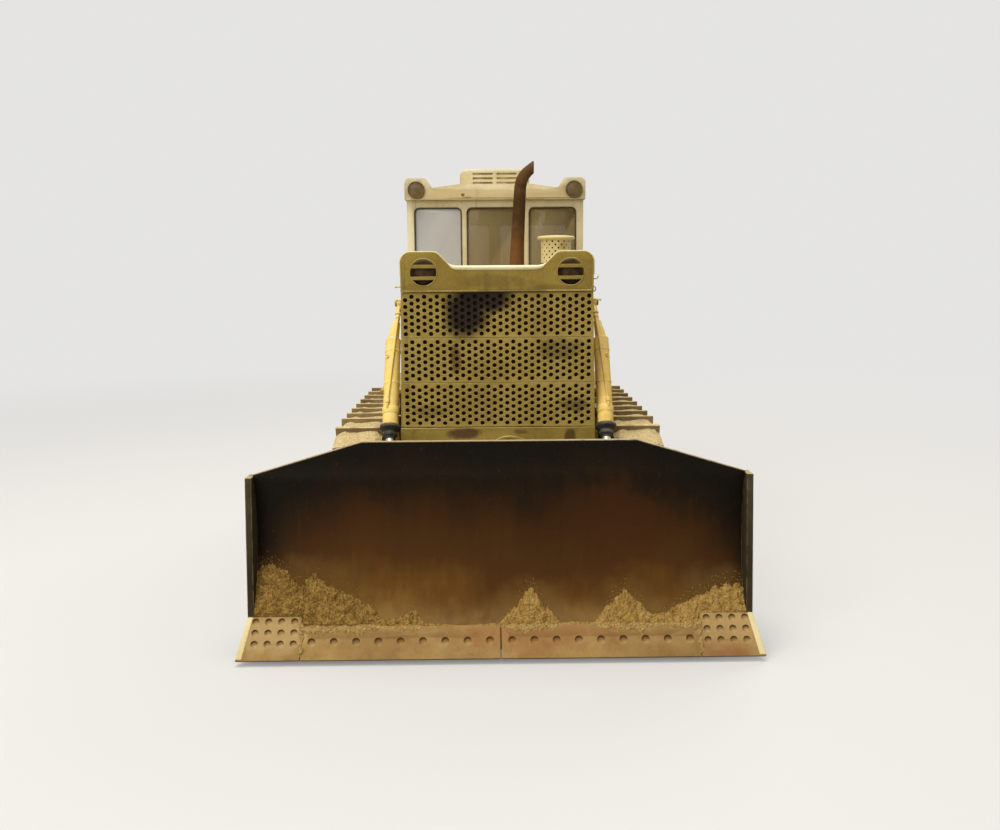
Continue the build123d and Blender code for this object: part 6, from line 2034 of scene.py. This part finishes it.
@dataclass
class Cab(Assembly):
    """The cab with its seals, panes, roof, lamps and doors."""

    front: float = 142.7
    wall: float = 2.0
    half_width: float = 38.3
    sill: float = 106.0
    window_top: float = 147.4
    corner: float = 2.2
    centre_half: float = 12.4
    post: float = 2.2
    corner_post: float = 3.1
    rear: float = 192.7
    rear_post: float = 4.4
    side_top: float = 142.2
    door_span: tuple[float, float] = (148.6, 172.8)
    quarter_span: tuple[float, float] = (180.2, 187.2)
    lamp: tuple[float, float, float] = (34.0, 140.5, 154.8)
    vent_half: float = 16.0
    vent_corner: float = 3.6
    vent_depth: float = 5.0
    vent_drop: float = 1.9

    def seal(self, build: Builder, span: tuple[float, float], top: float, wall: float, out: Vector) -> None:
        """Run a thin frame round a window.

        Args:
            build: What the frame is added to.
            span: Limits of the opening, along X or along the stations.
            top: Upper limit of the opening.
            wall: The wall's outer face, as X or as a station.
            out: Direction out of the wall.
        """
        curve = self.corner
        low, high, foot, head = span[0] + curve, span[1] - curve, self.sill + curve, top - curve
        corners = ((high, head, 0.0), (low, head, 90.0), (low, foot, 180.0), (high, foot, 270.0))
        turns = [(x, z, radians(start + step * 15.0)) for x, z, start in corners for step in range(7)]
        rings = []
        for inset, rise in ((0.0, -0.25), (-0.12, 0.12), (0.35, 0.16), (0.5, -0.35)):
            points = []
            for x, z, t in turns:
                along, height = x + (curve - inset) * cos(t), z + (curve - inset) * sin(t)
                base = at(wall, along, height) if abs(out.x) > 0.5 else at(along, wall, height)
                points.append(base + out * rise * MM)
            rings.append(build.ring(points))
        build.skin(rings, loop=True)

    def seals(self) -> None:
        """Frame the fixed windows and those in the doors."""
        inner = self.centre_half + self.post
        outer = self.half_width - self.corner_post
        fixed = Builder()
        for span in ((-outer, -inner), (-self.centre_half, self.centre_half), (inner, outer)):
            self.seal(fixed, span, self.window_top, self.front, -BACK)
        for span in ((-outer, -self.rear_post / 2), (self.rear_post / 2, outer)):
            self.seal(fixed, span, self.side_top, self.rear, BACK)
        for side in Side:
            door = Builder()
            for build, span in ((fixed, self.quarter_span), (door, self.door_span)):
                self.seal(build, span, self.side_top, side.value * self.half_width, ACROSS * side.value)
            door.show("door_seal_" + side.label, self.finishes.seal, body=side.body("door"))
        fixed.show("window_seals", self.finishes.seal)

    def lamps(self) -> None:
        """Turn the two roof lamps with their rims."""
        rims, lenses = Builder(), Builder()
        x, station, height = self.lamp
        for sign in SIGNS:
            base = at(sign * x, station, height)
            rims.lathe(base, -BACK, [
                (-1.1, 3.5), (0.0, 3.6), (0.9, 3.6), (1.12, 3.5), (1.18, 3.3), (0.8, 3.2), (0.6, 0.4),
            ], 32)
            lenses.lathe(base, -BACK, [(0.5, 3.2), (0.75, 3.0), (0.95, 2.2), (1.05, 1.1), (1.08, 0.2)], 32)
        rims.show("lamp_rims", self.finishes.roof_lens, ["cab_lamps"])
        lenses.show("lamp_faces", self.finishes.roof_lens)

    def panes(self) -> None:
        """Set the fixed panes, the one with a painted reflection apart."""
        inner = (self.centre_half + self.post / 2) * MM
        front = at(0, self.front + self.wall, 0).y
        for name, has_painted_glare, finish in (
            ("clouded_pane", True, self.finishes.glare_pane), ("clear_panes", False, self.finishes.glass),
        ):
            work = bmesh.new()
            work.from_mesh(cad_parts["cab_glass"].data)
            bmesh.ops.remove_doubles(work, verts=work.verts, dist=MERGE)
            other = [f for f in work.faces if all(v.co.x < -inner and v.co.y < front for v in f.verts) != has_painted_glare]
            bmesh.ops.delete(work, geom=other, context="FACES")
            mesh = baked(work, name)
            smooth(mesh)
            show(name, mesh, finish, ["cab_glass"])

    def vent(self) -> None:
        """Round the roof vent's rim, and its upper corners more widely."""
        mesh = rounded("roof_vent", 0.2, rim=1.6)
        top, corner = max(vert.co.z for vert in mesh.vertices), self.vent_corner * MM
        for vert in mesh.vertices:
            share = max(0.0, (abs(vert.co.x) - self.vent_half * MM + corner) / corner)
            high = max(0.0, 1.0 - (top - vert.co.z) / (self.vent_depth * MM))
            vert.co.z -= self.vent_drop * MM * (1.0 - sqrt(max(0.0, 1.0 - share * share))) * high
        show("cream_roof_vent", mesh, self.finishes.cream, ["roof_vent"])

    def build(self) -> None:
        """Build and dress the cab."""
        cream, seat = self.finishes.cream, self.finishes.seat
        walls = (("cab_front", 0.35), ("cab_rear", 0.35), ("cab_quarters", 0.3), ("cab_roof", 0.7))
        coats(("cream_" + node, node, width, cream) for node, width in walls)
        self.vent()
        for side in Side:
            door = "door_" + side.label
            coats((("cream_" + door, door, 0.3, cream),), side.body("door"))
            dress(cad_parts["door_glass_" + side.label].data, self.finishes.glass)
        self.seals()
        self.lamps()
        self.panes()
        show("moulded_seat", rounded("seat", 0.8, 3), seat, ["seat"])
        coats((("moulded_console", "console", 0.4, seat),))


@dataclass
class Hull(Assembly):
    """The hull, platform and what hangs on the rear."""

    def build(self) -> None:
        """Dress the hull."""
        hull = self.finishes.hull
        coats(("weathered_" + node, node, width, finish) for node, width, finish in (
            ("main_frame", 0.5, hull), ("transmission_case", 0.7, hull), ("cross_beams", 0.4, hull),
            ("platform", 0.3, hull), ("fuel_tank", 0.5, self.finishes.guard), ("drawbar", 0.3, self.finishes.running),
        ))


@dataclass
class Fittings(Assembly):
    """Small hardware on the sides, the back and the top."""

    cab_side: float = 38.3
    cab_rear: float = 192.7
    case_rear: float = 206.0
    cover_thickness: float = 0.8
    cover_half: float = 21.0
    cover_heights: tuple[float, float] = (29.0, 61.0)
    work_lamp: tuple[float, float] = (28.0, 146.4)
    tail_lamp: tuple[float, float] = (27.0, 58.0)
    rail_station: float = 189.2
    tank: tuple[float, float, float] = (192.7, 209.7, 106.0)
    tank_bend: float = 4.0
    strap_x: float = 17.0
    strap_foot: float = 68.0
    hub: tuple[float, float] = (183.86, 32.07)
    idler: tuple[float, float] = (76.0, 32.07)
    frame_side: float = 59.4
    rollers: tuple[float, float, int] = (101.0, 11.57, 6)
    roller_bolts: float = 13.6
    guard_side: float = 33.8
    hood_side: float = 32.0

    def handles(self) -> None:
        """Hang a lever handle on each door and a grab rail behind it."""
        rails = Builder()
        x = self.cab_side
        lever = [
            (0.0, 148.3, 99.6, 0.45), (1.0, 148.3, 99.6, 0.45), (1.3, 148.8, 99.6, 0.48), (1.35, 153.4, 99.2, 0.42),
            (1.2, 154.6, 99.1, 0.36),
        ]
        rail = [(-0.1, 84.0), (1.0, 84.0), (1.4, 84.6), (1.4, 100.0), (1.4, 127.4), (1.0, 128.0), (-0.1, 128.0)]
        for side in Side:
            sign = side.value
            build = Builder()
            low, high = sorted((sign * (x - 0.1), sign * (x + 0.35)))
            build.block(at(low, 147.3, 95.6), at(high, 149.3, 101.4))
            build.tube([at(sign * (x + out), station, z) for out, station, z, _ in lever], [bar for *_, bar in lever])
            build.show("door_handle_" + side.label, self.finishes.running, body=side.body("door"), width=0.1)
            rails.tube([at(sign * (x + out), self.rail_station, z) for out, z in rail], 0.42)
        rails.show("grab_rails", self.finishes.running)

    def rear_lamps(self) -> None:
        """Turn the work lamps under the roof and the tail lamps on the case."""
        bowls, lenses, tails = Builder(), Builder(), Builder()
        for sign in SIGNS:
            base = at(sign * self.work_lamp[0], self.cab_rear - 0.1, self.work_lamp[1])
            bowls.lathe(base, BACK, [
                (0, 1.4), (0.7, 1.4), (1.0, 2.4), (2.6, 2.9), (3.0, 2.9), (3.1, 2.6), (2.6, 2.4), (2.5, 0.3),
            ], 28)
            lenses.lathe(base, BACK, [(2.3, 2.4), (2.7, 2.2), (2.9, 1.2), (2.95, 0.2)], 28)
            base = at(sign * self.tail_lamp[0], self.case_rear - 0.1, self.tail_lamp[1])
            bowls.lathe(base, BACK, [(0, 2.2), (1.2, 2.2), (1.5, 2.0), (1.5, 0.3)], 24)
            tails.lathe(base, BACK, [(1.3, 1.7), (1.7, 1.6), (2.1, 1.1), (2.2, 0.2)], 24)
        bowls.show("rear_lamp_bowls", self.finishes.running)
        lenses.show("rear_lamp_faces", self.finishes.roof_lens)
        tails.show("tail_lamp_faces", self.finishes.tail_lens)

    def tank_straps(self) -> None:
        """Strap the fuel tank down and screw its cap on."""
        front, back, top = self.tank
        build = Builder()
        curve = self.tank_bend
        path = [(back, self.strap_foot, 1.0, 0.0)]
        for step in range(7):
            c, s = cos(radians(15.0 * step)), sin(radians(15.0 * step))
            path.append((back - curve + curve * c, top - curve + curve * s, c, s))
        path.append((front, top, 0.0, 1.0))
        for sign in SIGNS:
            build.skin([build.ring(
                at(sign * self.strap_x + x, station + away * out, height + up * out)
                for x, out in ((-1.4, -0.1), (1.4, -0.1), (1.4, 0.4), (-1.4, 0.4))
            ) for station, height, away, up in path])
        build.lathe(at(0.0, (front + back) / 2, top - 0.1), UP, [
            (0, 3.6), (0.5, 3.6), (0.6, 2.9), (1.9, 2.9), (2.2, 2.6), (2.25, 0.9), (2.9, 0.8), (3.0, 0.2),
        ], 28)
        build.show("tank_straps", self.finishes.running)

    def bolts(self) -> None:
        """Set bolt heads on the hubs, the track frames, the guard and the rear cover."""
        finish = self.finishes.running
        bolt = turned("hex_bolt", UP, [(-0.1, 0.7), (0.5, 0.7), (0.62, 0.5)], 6)
        nut = turned("washer_nut", -BACK, [(-0.1, 1.4), (0.35, 1.4), (0.4, 0.95), (0.95, 0.95), (1.1, 0.7)], 12)
        rivet = turned("round_head", -BACK, [(-0.1, 0.55), (0.3, 0.5), (0.42, 0.3)], 10)
        rings, grid = RingTool(), GridTool()
        work = bmesh.new()

        def settle(mesh: Mesh, place: Vector, turn: float, axis: str) -> None:
            """Turn a pattern round an axis, set it in its place and keep it."""
            mesh.transform(Matrix.Translation(place) @ Matrix.Rotation(turn, 4, axis))
            work.from_mesh(mesh)

        start, pitch, count = self.rollers
        for sign in SIGNS:
            for centre, x, number, radius in (
                (self.hub, 54.0, 12, 10.6), (self.hub, 56.0, 6, 5.2), (self.idler, 57.8, 6, 4.0),
            ):
                mesh = rings.repeat(bolt, number, radius, finish)
                settle(mesh, at(sign * x, *centre), sign * pi / 2, "Y")
            for piece, x, station, height, counts, pitches in (
                (nut, self.frame_side, start, self.roller_bolts, (count, 1), (pitch, 1.0)),
                (rivet, self.guard_side, 64.6, 46.0, (2, 8), (21.4, 8.6)),
                (rivet, self.hood_side, 91.4, 44.0, (2, 7), (49.2, 9.0)),
            ):
                mesh = grid.repeat(piece, counts, pitches, mm(0.0, 0.0, height), finish)
                span = (counts[0] - 1) * pitches[0]
                settle(mesh, at(sign * x, station + (span if sign < 0 else 0.0), 0.0), sign * pi / 2, "Z")
        plate = Builder()
        outside = self.case_rear + self.cover_thickness
        low, high = self.cover_heights
        plate.block(at(-self.cover_half, self.case_rear - 0.1, low), at(self.cover_half, outside, high))
        plate.show("rear_cover", self.finishes.hull, width=0.3)
        for counts, pitches in (((6, 2), (7.6, 28.0)), ((2, 3), (38.0, 7.0))):
            first = mm(-(counts[0] - 1) * pitches[0] / 2, 0.0, -(counts[1] - 1) * pitches[1] / 2)
            settle(grid.repeat(nut, counts, pitches, first, finish), at(0.0, outside, (low + high) / 2), pi, "Z")
        discard(bolt, nut, rivet)
        mesh = baked(work, "bolt_heads")
        smooth(mesh)
        show("bolt_heads", mesh, finish)

    def build(self) -> None:
        """Fit the hardware."""
        self.handles()
        self.rear_lamps()
        self.tank_straps()
        self.bolts()


def main() -> None:
    """Build the studio and every sub-assembly in order."""
    logging.basicConfig(level=logging.INFO, format="%(name)s %(message)s")
    finishes = Finishes.make()
    Studio().build()
    for part in (Hull, Undercarriage, Guard, Hood, Cab, Blade, LiftGear, Fittings):
        LOG.info("building %s", part.__name__)
        part(finishes).build()


if __name__ == "__main__":
    main()
